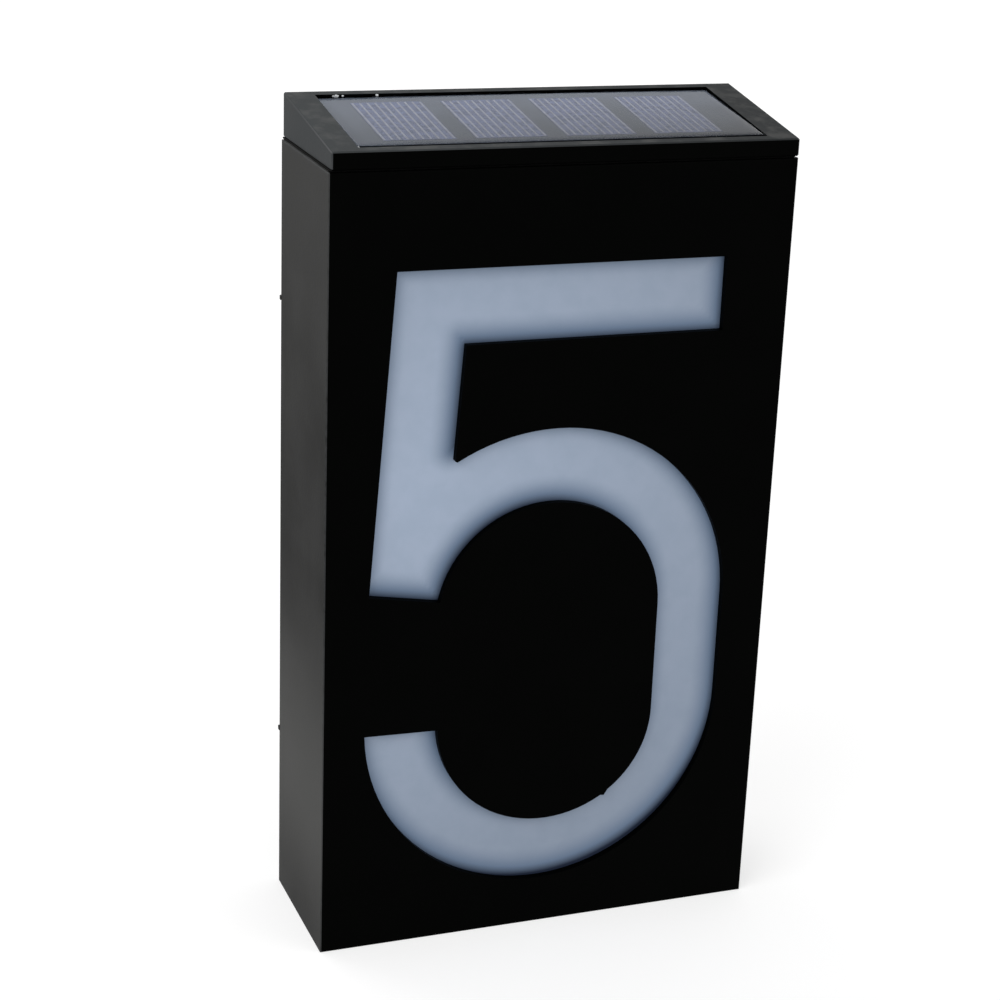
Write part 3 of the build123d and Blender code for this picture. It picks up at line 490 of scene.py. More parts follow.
def grain_group():
    """Moulded grain: fine noise for the bump's height, and a broader noise that mottles tone."""
    inputs = {"Place": None, "Size": 0.0006, "Mottle size": 0.02}
    group, start, end = new_group("Moulded grain", inputs, ("Height", "Mottle"))
    fine_scale = maths(group, "DIVIDE", 1.0, start["Size"])
    broad_scale = maths(group, "DIVIDE", 1.0, start["Mottle size"])
    fine = noise(group, start["Place"], fine_scale, 3.0, 0.6)
    broad = noise(group, start["Place"], broad_scale, 4.0, 0.55)
    group.links.new(fine, end["Height"])
    group.links.new(ramp(group, broad, 0.3, 0.7), end["Mottle"])


def highlight_group():
    """Painted edge highlight on a box: near two of its faces at once, broken up by noise. For each
    axis the distance in from the box's face is taken, and the middle one of the three says how
    near the point is to an edge."""
    inputs = {"Place": None, "Centre": None, "Half size": None, "Reach": 0.0006}
    group, start, end = new_group("Edge highlight", inputs, ("Highlight",))
    offset = vector_maths(group, "SUBTRACT", {0: start["Place"], 1: start["Centre"]})
    size = vector_maths(group, "ABSOLUTE", {0: offset})
    inward = vector_maths(group, "SUBTRACT", {0: start["Half size"], 1: size})
    x, y, z = axes(group, inward)
    low = maths(group, "MINIMUM", x, y)
    high = maths(group, "MAXIMUM", x, y)
    middle = maths(group, "MAXIMUM", low, maths(group, "MINIMUM", high, z))
    patches = ramp(group, noise(group, start["Place"], 420.0, 3.0), 0.3, 0.7, 0.4, 1.4)
    share = maths(group, "DIVIDE", middle, product(group, start["Reach"], patches))
    group.links.new(maths(group, "SUBTRACT", 1.0, share, clamp=True), end["Highlight"])


def dust_group():
    """Settled dust: on surfaces that look up, patchy by noise."""
    inputs = {"Place": None, "Amount": 0.3}
    group, start, end = new_group("Settled dust", inputs, ("Dust",))
    normal = add_node(group, "ShaderNodeNewGeometry").outputs["Normal"]
    facing = ramp(group, axes(group, normal)[2], 0.6, 1.0)
    patches = ramp(group, noise(group, start["Place"], 260.0, 5.0), 0.42, 0.72)
    group.links.new(product(group, facing, patches, start["Amount"]), end["Dust"])


def new_material(name):
    """Empty material and its node tree."""
    material = bpy.data.materials.new(name)
    material.use_nodes = True
    material.node_tree.nodes.clear()
    return material, material.node_tree


def principled(material, varying, constants, bump=0.0):
    """Give the material a Principled shader. varying maps sockets to what is linked to them,
    and constants are set on the shader itself. A varying Height becomes a bump of this depth
    in metres."""
    tree = material.node_tree
    shader = add_node(tree, "ShaderNodeBsdfPrincipled", constants)
    for key, value in varying.items():
        if key == "Height":
            sockets = {"Height": value, "Distance": bump, "Strength": 1.0}
            key, value = "Normal", add_node(tree, "ShaderNodeBump", sockets).outputs[0]
        tree.links.new(value, shader.inputs[key])
    add_node(tree, "ShaderNodeOutputMaterial", {"Surface": shader.outputs[0]})
    return material


def paint(material, *nodes):
    """Give CAD nodes this material in their own slots."""
    for name in nodes:
        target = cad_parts[name]
        if not target.material_slots:
            target.data.materials.append(material)
        for slot in target.material_slots:
            slot.material = material


# ---------------------------------------------------------------- materials


def slope_axes(tree):
    """Across, along and above on the cap's slope."""
    turn = {
        "Vector": object_place(tree),
        "Location": tuple(on_slope(0.0, 0.0, 0.0)),
        "Rotation": (CAP_TILT, 0.0, 0.0),
    }
    return axes(tree, add_node(tree, "ShaderNodeMapping", turn, vector_type="TEXTURE").outputs[0])


def on_front(tree, y):
    """One on the plane of the front, and nothing just behind it."""
    return ramp(tree, y, FRONT_Y + 0.05 * MM, FRONT_Y + 0.01 * MM)


def front_shade_mask(tree):
    """Mask of the box's painted shade: one on its front wall, its cut edges and the edges of its
    face, and nothing on its sides."""
    wall_depth, corner_width = 1.85 * MM, 0.25 * MM
    x, y, _ = axes(tree, object_place(tree))
    wall = maths(tree, "LESS_THAN", y, FRONT_Y + wall_depth)
    outward = maths(tree, "ABSOLUTE", x)
    between = maths(tree, "LESS_THAN", outward, HOUSING_HIGH[0] - corner_width)
    return maths(tree, "MAXIMUM", on_front(tree, y), product(tree, wall, between))


def cap_shade_mask(tree):
    """Mask of the cap's painted shade: one on the cap's front with its lower edge, and on the
    walls of the panel's pocket, which is a rectangle sunk in the slope."""
    edge_height, edge_depth = 0.32 * MM, 0.5 * MM
    pocket_room, least_depth, rear_skin = 1.6 * MM, 0.03 * MM, 0.2 * MM
    _, y, z = axes(tree, object_place(tree))
    under = maths(tree, "LESS_THAN", z, CAP_BASE + edge_height)
    ahead = maths(tree, "LESS_THAN", y, FRONT_Y + edge_depth)
    face = maths(tree, "MAXIMUM", on_front(tree, y), product(tree, under, ahead))
    low, high = slope_corners("panel_cover")
    across, along, above = slope_axes(tree)
    pocket = product(
        tree,
        within(tree, across, low[0] - pocket_room, high[0] + pocket_room),
        within(tree, along, low[1] - pocket_room, high[1] + pocket_room),
        maths(tree, "LESS_THAN", above, -least_depth),
        maths(tree, "LESS_THAN", y, CAP_HIGH[1] - rear_skin),
    )
    return maths(tree, "MAXIMUM", face, pocket)


def slope_highlight(tree):
    """Painted highlight strip along the cap's sloping side edges: the chamfer between side and top.
    It fades towards the rear."""
    strip_width, strip_depth = 0.16 * MM, 0.4 * MM
    across, along, above = slope_axes(tree)
    middle, half = (CAP_HIGH[0] + CAP_LOW[0]) / 2, (CAP_HIGH[0] - CAP_LOW[0]) / 2
    outward = maths(tree, "ABSOLUTE", maths(tree, "SUBTRACT", across, middle))
    near = maths(tree, "GREATER_THAN", outward, half - strip_width)
    high = maths(tree, "GREATER_THAN", above, -strip_depth)
    fade = ramp(tree, along, 16 * MM, -20 * MM, 0.25, 1.0)
    return product(tree, near, high, fade)


def shell_material(name, node, settings, shade_mask, tone, drift, extra_highlight):
    """Moulded plastic, grey and grained. Where the shade mask is one, painted shade makes it deep
    black and a little smoother; its edges get a painted highlight, and thin dust lies on top.
    drift lists how the grey changes along an axis, which is painted light and shade: (axis,
    from, to, first factor, last factor)."""
    dust_colour, dust_amount, most_edge_light = (0.35, 0.34, 0.32), 0.09, 0.55
    material, tree = new_material(name)
    low, high = np.array(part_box(node))
    place = object_place(tree)
    grain = group_node(tree, "Moulded grain", Place=place, Size=settings.grain)
    box = {"Centre": tuple((low + high) / 2), "Half_size": tuple((high - low) / 2)}
    highlight_share = group_node(tree, "Edge highlight", Place=place, **box)["Highlight"]
    dust = group_node(tree, "Settled dust", Place=place, Amount=dust_amount)["Dust"]
    base = blend(tree, grain["Mottle"], *tones(np.array(settings.side_colour) * tone, 0.08))
    for axis, start, end, first, last in drift:
        base = scaled(tree, base, ramp(tree, axes(tree, place)[axis], start, end, first, last))
    # Painted highlight: the edges and the cap's sloping side edges go to the highlight colour.
    edge_light = product(tree, highlight_share, most_edge_light)
    if extra_highlight:
        edge_light = maths(tree, "MAXIMUM", edge_light, extra_highlight(tree))
    base = blend(tree, edge_light, base, settings.highlight_colour)
    base = blend(tree, dust, base, dust_colour)
    rough = ramp(tree, grain["Mottle"], 0.0, 1.0, 0.42, 0.52, "LINEAR")
    # Painted shade: where the mask is one, the tone goes to the near-black front shade colour.
    if shade_mask:
        front = shade_mask(tree)
        front_shade = np.array(settings.front_shade_colour)
        deep = blend(tree, grain["Mottle"], front_shade * 0.8, front_shade * 1.25)
        base = blend(tree, front, base, deep)
        rough = maths(tree, "SUBTRACT", rough, product(tree, front, 0.08))
    varying = {"Base Color": base, "Roughness": rough, "Height": grain["Height"]}
    return principled(material, varying, {"Specular IOR Level": 0.014}, settings.grain_depth)


def panel_shade(tree, colour, loss, corner_loss):
    """Colour that darkens towards the panel's front by the share loss, and towards its front
    right corner by corner_loss more."""
    low, high = slope_corners("panel_board")
    across, along, _ = slope_axes(tree)
    rightward = ramp(tree, across, low[0], high[0], loss, loss + corner_loss, "LINEAR")
    forward = ramp(tree, along, high[1], low[1], kind="LINEAR")
    return scaled(tree, colour, maths(tree, "SUBTRACT", 1.0, product(tree, forward, rightward)))


def plain_material(
    name,
    pair,
    rough,
    size=0.004,
    depth=0.0,
    gloss=0.3,
    metal=False,
    sunk=None,
    shade=None,
    curve="LINEAR",
):
    """Everyday finish: tone and roughness that drift between two values with noise, and a fine
    bump. Where the point attribute that sunk names is one, painted shade makes the tone near
    black. shade gives the panel's two losses of painted shade, and curve says how the roughness
    goes between its values."""
    material, tree = new_material(name)
    grain = grain_parts(tree, size, size / 6)
    colour = blend(tree, grain["Mottle"], *pair)
    # Painted shade: where sunk is one, as in the screws' cross recesses, the tone goes near black.
    if sunk:
        colour = blend(tree, point_value(tree, sunk), colour, np.array(pair[0]) * 0.12)
    if shade:
        colour = panel_shade(tree, colour, *shade)
    varying = {
        "Base Color": colour,
        "Roughness": ramp(tree, grain["Mottle"], 0.0, 1.0, *rough, curve),
    }
    if depth:
        varying["Height"] = grain["Height"]
    constants = {"Metallic": 1.0} if metal else {"Specular IOR Level": gloss}
    return principled(material, varying, constants, depth)


def opal_material(settings):
    """Opal sheet: bluish white in the middle of a stroke. Towards the numeral's edges, where the
    point attribute shade_distance falls, it goes over the shade colour to the edge colour, a
    painted shade of the front wall. Painted light makes it brightest near the stem's left edge,
    and it is faintly cloudy."""
    half_open = 0.43
    brightest, spread = (-38 * MM, FRONT_Y, 115 * MM), 105 * MM
    material, tree = new_material("Opal sheet")
    mottle = grain_parts(tree, 0.006)["Mottle"]
    reach = settings.edge_reach
    distance = point_value(tree, "shade_distance")
    shaded = ramp(tree, distance, 0.71 * reach, -0.29 * reach, kind="LINEAR")
    open_part = maths(tree, "SUBTRACT", 1.0, maths(tree, "POWER", shaded, 1.5))
    # Painted light: brightest near the stem, darker with distance from there.
    away = vector_maths(tree, "DISTANCE", {0: object_place(tree), 1: brightest}, "Value")
    level = ramp(tree, away, 0.0, spread, 1.15, 0.82, "LINEAR")
    middle = np.array(settings.middle_colour)
    cloud = blend(tree, mottle, middle * 0.97, middle * (1.035, 1.02, 1.015))
    outer = ramp(tree, open_part, 0.0, half_open, kind="LINEAR")
    inner = ramp(tree, open_part, half_open, 1.0, kind="LINEAR")
    base = blend(tree, outer, settings.edge_colour, settings.shade_colour)
    base = blend(tree, inner, base, scaled(tree, cloud, level))
    rough = ramp(tree, mottle, 0.0, 1.0, 0.4, 0.5, "LINEAR")
    varying = {"Base Color": base, "Emission Color": base, "Roughness": rough}
    constants = {"Emission Strength": settings.glow, "Specular IOR Level": 0.25}
    return principled(material, varying, constants)


def lens_material():
    """Clear potting over the cells: smooth and a little wavy. Down its front side, which the point
    attribute rim marks, it is painted black as shade."""
    material, tree = new_material("Clear potting")
    wave = noise(tree, object_place(tree), 70.0, 1.0)
    tint = blend(tree, wave, (0.93, 0.96, 1.0), (0.97, 0.98, 1.0))
    rim = ramp(tree, point_value(tree, "rim"), 0.5, 1.0)
    varying = {
        "Base Color": blend(tree, rim, tint, (0.004, 0.004, 0.005)),
        "Roughness": ramp(tree, wave, 0.3, 0.7, 0.02, 0.05),
        "Height": wave,
    }
    return principled(material, varying, {"Transmission Weight": 1.0, "IOR": 1.15}, 0.02 * MM)


def cell_material(settings):
    """Silicon: dark blue with crystal patches that differ a little in tone."""
    material, tree = new_material("Silicon")
    sockets = {"Vector": object_place(tree), "Scale": 900.0}
    patch = axes(tree, add_node(tree, "ShaderNodeTexVoronoi", sockets).outputs["Color"])[0]
    cell = np.array(settings.cell_colour)
    colour = blend(tree, patch, cell * 0.85, cell * (1.12, 1.14, 1.2))
    varying = {
        "Base Color": panel_shade(tree, colour, 0.2, 0.38),
        "Roughness": ramp(tree, patch, 0.0, 1.0, 0.25, 0.4),
    }
    return principled(material, varying, {"Specular IOR Level": 0.05})


def board_material(name, colour, trace, spacing):
    """Printed board: solder mask over copper traces that run in steps, and a woven bump. A trace
    is where the noise is far enough up in its band."""
    band, trace_level = 0.045, 0.03
    material, tree = new_material(name)
    snapped = vector_maths(tree, "SNAP", {0: object_place(tree), 1: (spacing,) * 3})
    bands = maths(tree, "PINGPONG", noise(tree, snapped, 160.0, 0.0), band)
    lines = maths(tree, "GREATER_THAN", bands, trace_level)
    weave = grain_parts(tree, 0.004, 0.0003)
    mask = blend(tree, weave["Mottle"], *tones(colour, 0.15))
    varying = {
        "Base Color": blend(tree, lines, mask, trace),
        "Roughness": ramp(tree, weave["Mottle"], 0.0, 1.0, 0.25, 0.4),
        "Height": maths(tree, "ADD", lines, product(tree, weave["Height"], 0.2)),
    }
    return principled(material, varying, {"Specular IOR Level": 0.4}, 0.03 * MM)


def split_material(name, axis, middle, colours, rough, metal=0.0):
    """Two finishes that meet where an Object coordinate passes a value, each with its own tone
    drift; the second may be metal."""
    soft = 0.02 * MM
    material, tree = new_material(name)
    along = axes(tree, object_place(tree))[axis]
    side = ramp(tree, along, middle - soft, middle + soft)
    mottle = grain_parts(tree, 0.003)["Mottle"]
    first, second = (blend(tree, mottle, *tones(colour, 0.15)) for colour in colours)
    varying = {
        "Base Color": blend(tree, side, first, second),
        "Roughness": ramp(tree, side, 0.0, 1.0, *rough, "LINEAR"),
    }
    if metal:
        varying["Metallic"] = product(tree, side, metal)
    return principled(material, varying, {"Specular IOR Level": 0.35})


def wrap_material(low, high):
    """Battery: shrink-wrapped sleeve with a wide and a narrow plain band, whose places are
    shares of its length, and steel at both bare ends."""
    band_colour, wide_from, narrow_at, narrow_half = (0.55, 0.56, 0.55), 0.80, 0.74, 0.012
    material, tree = new_material("Battery sleeve")
    x, y, z = axes(tree, object_place(tree))
    centre, radius = (low + high) / 2, (high[2] - low[2]) / 2
    rise = maths(tree, "SUBTRACT", z, centre[2])
    sideways = maths(tree, "SUBTRACT", y, centre[1])
    sleeve = ramp(tree, hypotenuse(tree, rise, sideways), radius * 0.74, radius * 0.76)
    grain = grain_parts(tree, 0.008, 0.0006)
    green = blend(tree, grain["Mottle"], (0.02, 0.16, 0.10), (0.03, 0.21, 0.13))
    steel = blend(tree, grain["Mottle"], (0.45, 0.45, 0.46), (0.6, 0.6, 0.6))
    along = ramp(tree, x, low[0], high[0], kind="LINEAR")
    wide = maths(tree, "GREATER_THAN", along, wide_from)
    narrow = maths(tree, "COMPARE", along, narrow_at, narrow_half)
    coloured = blend(tree, wide, green, band_colour)
    coloured = blend(tree, narrow, coloured, band_colour)
    varying = {
        "Base Color": blend(tree, sleeve, steel, coloured),
        "Metallic": maths(tree, "SUBTRACT", 1.0, sleeve),
        "Roughness": ramp(tree, grain["Mottle"], 0.0, 1.0, 0.22, 0.32),
        "Height": grain["Height"],
    }
    return principled(material, varying, {"Specular IOR Level": 0.45}, 0.02 * MM)


def lamp_material(centres_x, centre_z, pitch, half):
    """White lamp bodies with a round yellow window in the middle of each. The pattern repeats
    along Z with the lamps' pitch, counted from well below them, and is mirrored from strip to
    strip."""
    pitches_below = 20
    material, tree = new_material("Lamp body")
    x, _, z = axes(tree, object_place(tree))
    offset = maths(tree, "ABSOLUTE", maths(tree, "SUBTRACT", x, sum(centres_x) / 2))
    x = maths(tree, "SUBTRACT", offset, abs(centres_x[1] - centres_x[0]) / 2)
    rise = maths(tree, "SUBTRACT", z, centre_z - pitch * pitches_below)
    z = maths(tree, "PINGPONG", rise, pitch / 2)
    window = ramp(tree, hypotenuse(tree, x, z), half * 0.8, half * 0.72)
    mottle = grain_parts(tree, 0.001)["Mottle"]
    yellow = blend(tree, mottle, (0.72, 0.55, 0.10), (0.80, 0.63, 0.16))
    white = blend(tree, mottle, (0.72, 0.72, 0.70), (0.8, 0.8, 0.78))
    varying = {
        "Base Color": blend(tree, window, white, yellow),
        "Roughness": ramp(tree, window, 0.0, 1.0, 0.4, 0.25),
    }
    return principled(material, varying, {"Specular IOR Level": 0.4})


# ---------------------------------------------------------------- the numeral's outline


def outline_segments():
    """Both ends of every piece of the numeral's outline, as (x, z), from the housing's mesh:
    edges that only one triangle of the front plane uses, apart from the face's own border."""
    near, border, fewest = 0.001 * MM, 1.0 * MM, 12
    points = node_points("housing")
    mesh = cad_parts["housing"].data
    loops = np.empty(len(mesh.loops), np.int64)
    mesh.loops.foreach_get("vertex_index", loops)
    triangles = loops.reshape(-1, 3)
    places = np.round(points / near).astype(np.int64)
    _, merged = np.unique(places, axis=0, return_inverse=True)
    flat = (np.abs(points[triangles][:, :, 1] - FRONT_Y) < near).all(axis=1)
    front = triangles[flat]
    edges = np.concatenate([front[:, [0, 1]], front[:, [1, 2]], front[:, [2, 0]]])
    names = np.sort(merged.reshape(-1)[edges], axis=1)
    _, first, count = np.unique(names, axis=0, return_index=True, return_counts=True)
    ends = points[edges[first[count == 1]]][:, :, [0, 2]]
    low, high = HOUSING_LOW[[0, 2]] + border, HOUSING_HIGH[[0, 2]] - border
    inside = ((ends > low) & (ends < high)).all(axis=(1, 2))
    if inside.sum() < fewest:
        raise RuntimeError("the numeral's outline wasn't found in the housing's front")
    return ends[inside]


def outline_distance(x, z, segments):
    """Distance from each point to the nearest piece of the outline, positive inside the
    numeral. A point is inside where a line from it to the right crosses an odd number of
    pieces."""
    point = np.stack([x, z], axis=-1)[:, None, :]
    start, end = segments[None, :, 0], segments[None, :, 1]
    along = end - start
    share = ((point - start) * along).sum(axis=-1) / (along**2).sum(axis=-1)
    nearest = start + np.clip(share, 0, 1)[..., None] * along
    distance = np.sqrt(((point - nearest) ** 2).sum(axis=-1)).min(axis=1)
    spans = (start[..., 1] > point[..., 1]) != (end[..., 1] > point[..., 1])
    rise = np.where(along[..., 1] == 0, 1.0, along[..., 1])
    crossing = start[..., 0] + (point[..., 1] - start[..., 1]) * along[..., 0] / rise
    inside = (spans & (crossing > point[..., 0])).sum(axis=1) % 2 == 1
    return np.where(inside, distance, -distance)


# ---------------------------------------------------------------- operators


class SIGN_OT_shell(bpy.types.Operator):
    """Finish the moulded box, cap, rear cover, battery door and switch knob"""

    bl_idname = "sign.shell"
    bl_label = "Moulded shell"

    def execute(self, context):
        settings = context.scene.sign_shell
        top = HOUSING_HIGH[2]
        # Painted light and shade on the box's sides: lighter at the foot and the top, darker in the
        # middle, a painted reflection of the floor and lamps.
        up = (
            (2, 0.0, top * 0.18, 0.5, 1.0),
            (2, top * 0.2, top * 0.5, 2.1, 0.5),
            (2, top * 0.6, top, 1.0, 2.4),
        )
        # Painted light on the cap: lighter at its left end, darker at its right.
        across = ((0, CAP_LOW[0], CAP_HIGH[0], 1.4, 0.8),)
        bluish = (1.0, 1.08, 1.16)
        rows = (
            ("Box plastic", "housing", front_shade_mask, 1.0, up, None),
            ("Cap plastic", "top_cap", cap_shade_mask, bluish, across, slope_highlight),
            ("Rear plastic", "rear_cover", None, 0.9, (), None),
            ("Door plastic", "battery_door", None, 1.05, (), None),
        )
        for name, node, *finish in rows:
            paint(shell_material(name, node, settings, *finish), node)
        pair = ((0.30, 0.30, 0.29), (0.40, 0.40, 0.39))
        paint(plain_material("Knob plastic", pair, (0.35, 0.5), depth=0.02 * MM), "switch_knob")
        return {"FINISHED"}


class SIGN_OT_numeral(bpy.types.Operator):
    """Build the opal sheet that shows through the numeral"""

    bl_idname = "sign.numeral"
    bl_label = "Opal sheet"

    def execute(self, context):
        settings = context.scene.sign_sheet
        low, high = np.array(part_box("diffuser"))
        x, z = (
            np.linspace(low[i], high[i], int(round((high[i] - low[i]) / settings.spacing)) + 1)
            for i in (0, 2)
        )
        grid_z, grid_x = np.meshgrid(z, x, indexing="ij")
        front = np.stack([grid_x, np.full_like(grid_x, low[1]), grid_z], axis=-1)
        points, faces, _ = slab(front, front + (0, high[1] - low[1], 0))
        # Taken a little to the right and below, the distance falls off most at lower right edges.
        height = points[:, 2] / HOUSING_HIGH[2]
        x = points[:, 0] + settings.shade_side
        z = points[:, 2] - settings.shade_drop * (1 - 0.6 * height)
        values = {"shade_distance": outline_distance(x, z, outline_segments())}
        finish = opal_material(settings)
        piece = make_piece("opal_sheet", points, faces, BODY, finish, values=values)
        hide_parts("diffuser")
        return {"FINISHED"}


class SIGN_OT_panel(bpy.types.Operator):
    """Build the solar panel's clear cover and printed fingers, and finish its cells and board"""

    bl_idname = "sign.panel"
    bl_label = "Solar panel"

    def execute(self, context):
        settings = context.scene.sign_panel
        self.build_cover(settings)
        self.build_fingers(settings)
        paint(cell_material(settings), "solar_cells")
        pair = tones(settings.board_colour, 0.08)
        looks = {"gloss": 0.05, "shade": (0.43, 0.47), "curve": "SMOOTHSTEP"}
        paint(plain_material("Panel board", pair, (0.4, 0.55), 0.007, **looks), "panel_board")
        pair = ((0.02,) * 3, (0.035,) * 3)
        paint(plain_material("Foam tape", pair, (0.8, 0.9), 0.001, 0.08 * MM), "panel_tape")
        return {"FINISHED"}

    def build_cover(self, settings):
        """Clear cover: a slab whose top is flush with the pocket's rim at the front and sinks
        evenly towards the rear, most at the left corner, and bows up there as one minus the
        square of the way across. Its rim rolls over in a quarter circle."""
        low, high = slope_corners("panel_cover")
        half, middle = (high[:2] - low[:2]) / 2, (high[:2] + low[:2]) / 2
        roll, dip = 0.25 * MM, 0.02 * MM
        steps = roll * (1 - np.cos(np.linspace(0, pi / 2, 5)))
        u, v = (
            np.concatenate(
                [steps - size, np.linspace(-size, size, count)[1:-1], (size - steps)[::-1]]
            )
            for size, count in zip(half, (42, 18))
        )
        grid_v, grid_u = np.meshgrid(v, u, indexing="ij")
        inward = np.minimum(half[0] - np.abs(grid_u), half[1] - np.abs(grid_v))
        rolled = roll - np.sqrt(np.clip(roll**2 - np.clip(roll - inward, 0, roll) ** 2, 0, None))
        rearward = 0.5 + grid_v / (2 * half[1])
        leftward = 0.5 - grid_u / (2 * half[0])
        bow = settings.crown * (1 - (grid_u / half[0]) ** 2)
        sunk = rearward * (settings.tilt + settings.twist * leftward - bow)
        across, along = grid_u + middle[0], grid_v + middle[1]
        top = on_slope(across, along, -dip - sunk - rolled)
        points, faces, border = slab(top, on_slope(across, along, low[2] - dip))
        # Painted shade: the rim attribute marks the potting's front side, which is painted black.
        front_edge = (rearward < 0.001).reshape(-1)
        values = {"rim": np.concatenate([front_edge, front_edge[border]])}
        piece = make_piece(
            "panel_potting", points, faces, BODY, lens_material(), 40, values
        )
        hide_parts("panel_cover")

    def build_fingers(self, settings):
        """Printed fingers: each a low ridge with a half-ellipse section, from end to end of its
        cell, set out at an even pitch across it."""
        cells, cell_width, end_gap = 4, 16.6 * MM, 0.35 * MM
        sink, rise, steps = 0.01 * MM, 0.06 * MM, 7
        low, high = slope_corners("solar_cells")
        cell_pitch = (high[0] - low[0] - cell_width) / (cells - 1)
        centres = low[0] + cell_width / 2 + cell_pitch * np.arange(cells)
        numbers = np.arange(settings.finger_count) - (settings.finger_count - 1) / 2
        across = (centres[:, None] + numbers * settings.finger_pitch).reshape(-1)
        along = np.array([low[1] + end_gap, high[1] - end_gap])
        angle = np.linspace(0, pi, steps)
        section = settings.finger_width / 2 * np.cos(angle)
        above = high[2] - sink + rise * np.sin(angle)
        u = np.broadcast_to(across[:, None, None] + section, (len(across), 2, steps))
        points = on_slope(u, along[None, :, None], above).reshape(-1, 3)
        starts = np.arange(len(across))[:, None] * 2 * steps
        faces = (starts[..., None] + grid_faces(2, steps, wrap=True)).reshape(-1, 4).tolist()
        faces += (starts + np.arange(steps)[::-1]).tolist()
        faces += (starts + np.arange(steps, 2 * steps)).tolist()
        pair = tones(settings.finger_colour, 0.15)
        looks = {"gloss": 0.05, "shade": (0.22, 0.4)}
        silver = plain_material("Silver print", pair, (0.45, 0.6), 0.0015, **looks)
        make_piece("cell_fingers", points, faces, BODY, silver, 50)


class SIGN_OT_glue(bpy.types.Operator):
    """Set the few beads of glue that stand in the panel's gap"""

    bl_idname = "sign.glue"
    bl_label = "Glue beads"

    def execute(self, context):
        """Each bead is a squat ball whose waist swells and shrinks three times round."""
        low, high = slope_corners("panel_cover")
        # Across in mm, along, and radius in mm.
        beads = (
            (-43.6, high[1] + 0.15 * MM, 0.24),
            (-43.0, high[1] + 0.1 * MM, 0.42),
            (-42.6, high[1] + 0.25 * MM, 0.3),
            (-41.4, high[1] + 0.2 * MM, 0.26),
            (-33.4, high[1] + 0.2 * MM, 0.36),
            (-47.6, low[1] - 0.1 * MM, 0.28),
        )
        depth = 0.4 * MM
        turns = full_turn(16)
        rise = np.linspace(0, pi, 11)
        parts = []
        for number, (x, along, radius) in enumerate(beads):
            ring = np.stack([np.sin(rise), np.cos(rise) * 0.9], axis=-1) * radius * MM
            rings = np.broadcast_to(ring[:, None, :], (len(rise), len(turns), 2)).copy()
            rings[..., 0] *= 1 + 0.3 * np.sin(3 * turns + number) * np.sin(2 * rise)[:, None]
            rings[[0, -1], :, 0] = 0
            points, faces = turned(rings, turns)
            parts.append((points + on_slope(x * MM, along, -depth), faces))
        points, faces = join_parts(parts)
        pair = ((0.5, 0.52, 0.54), (0.75, 0.77, 0.78))
        finish = plain_material("Dried glue", pair, (0.2, 0.4), 0.0006, 0.02 * MM)
        make_piece("glue_beads", points, faces, BODY, finish, 60)
        return {"FINISHED"}


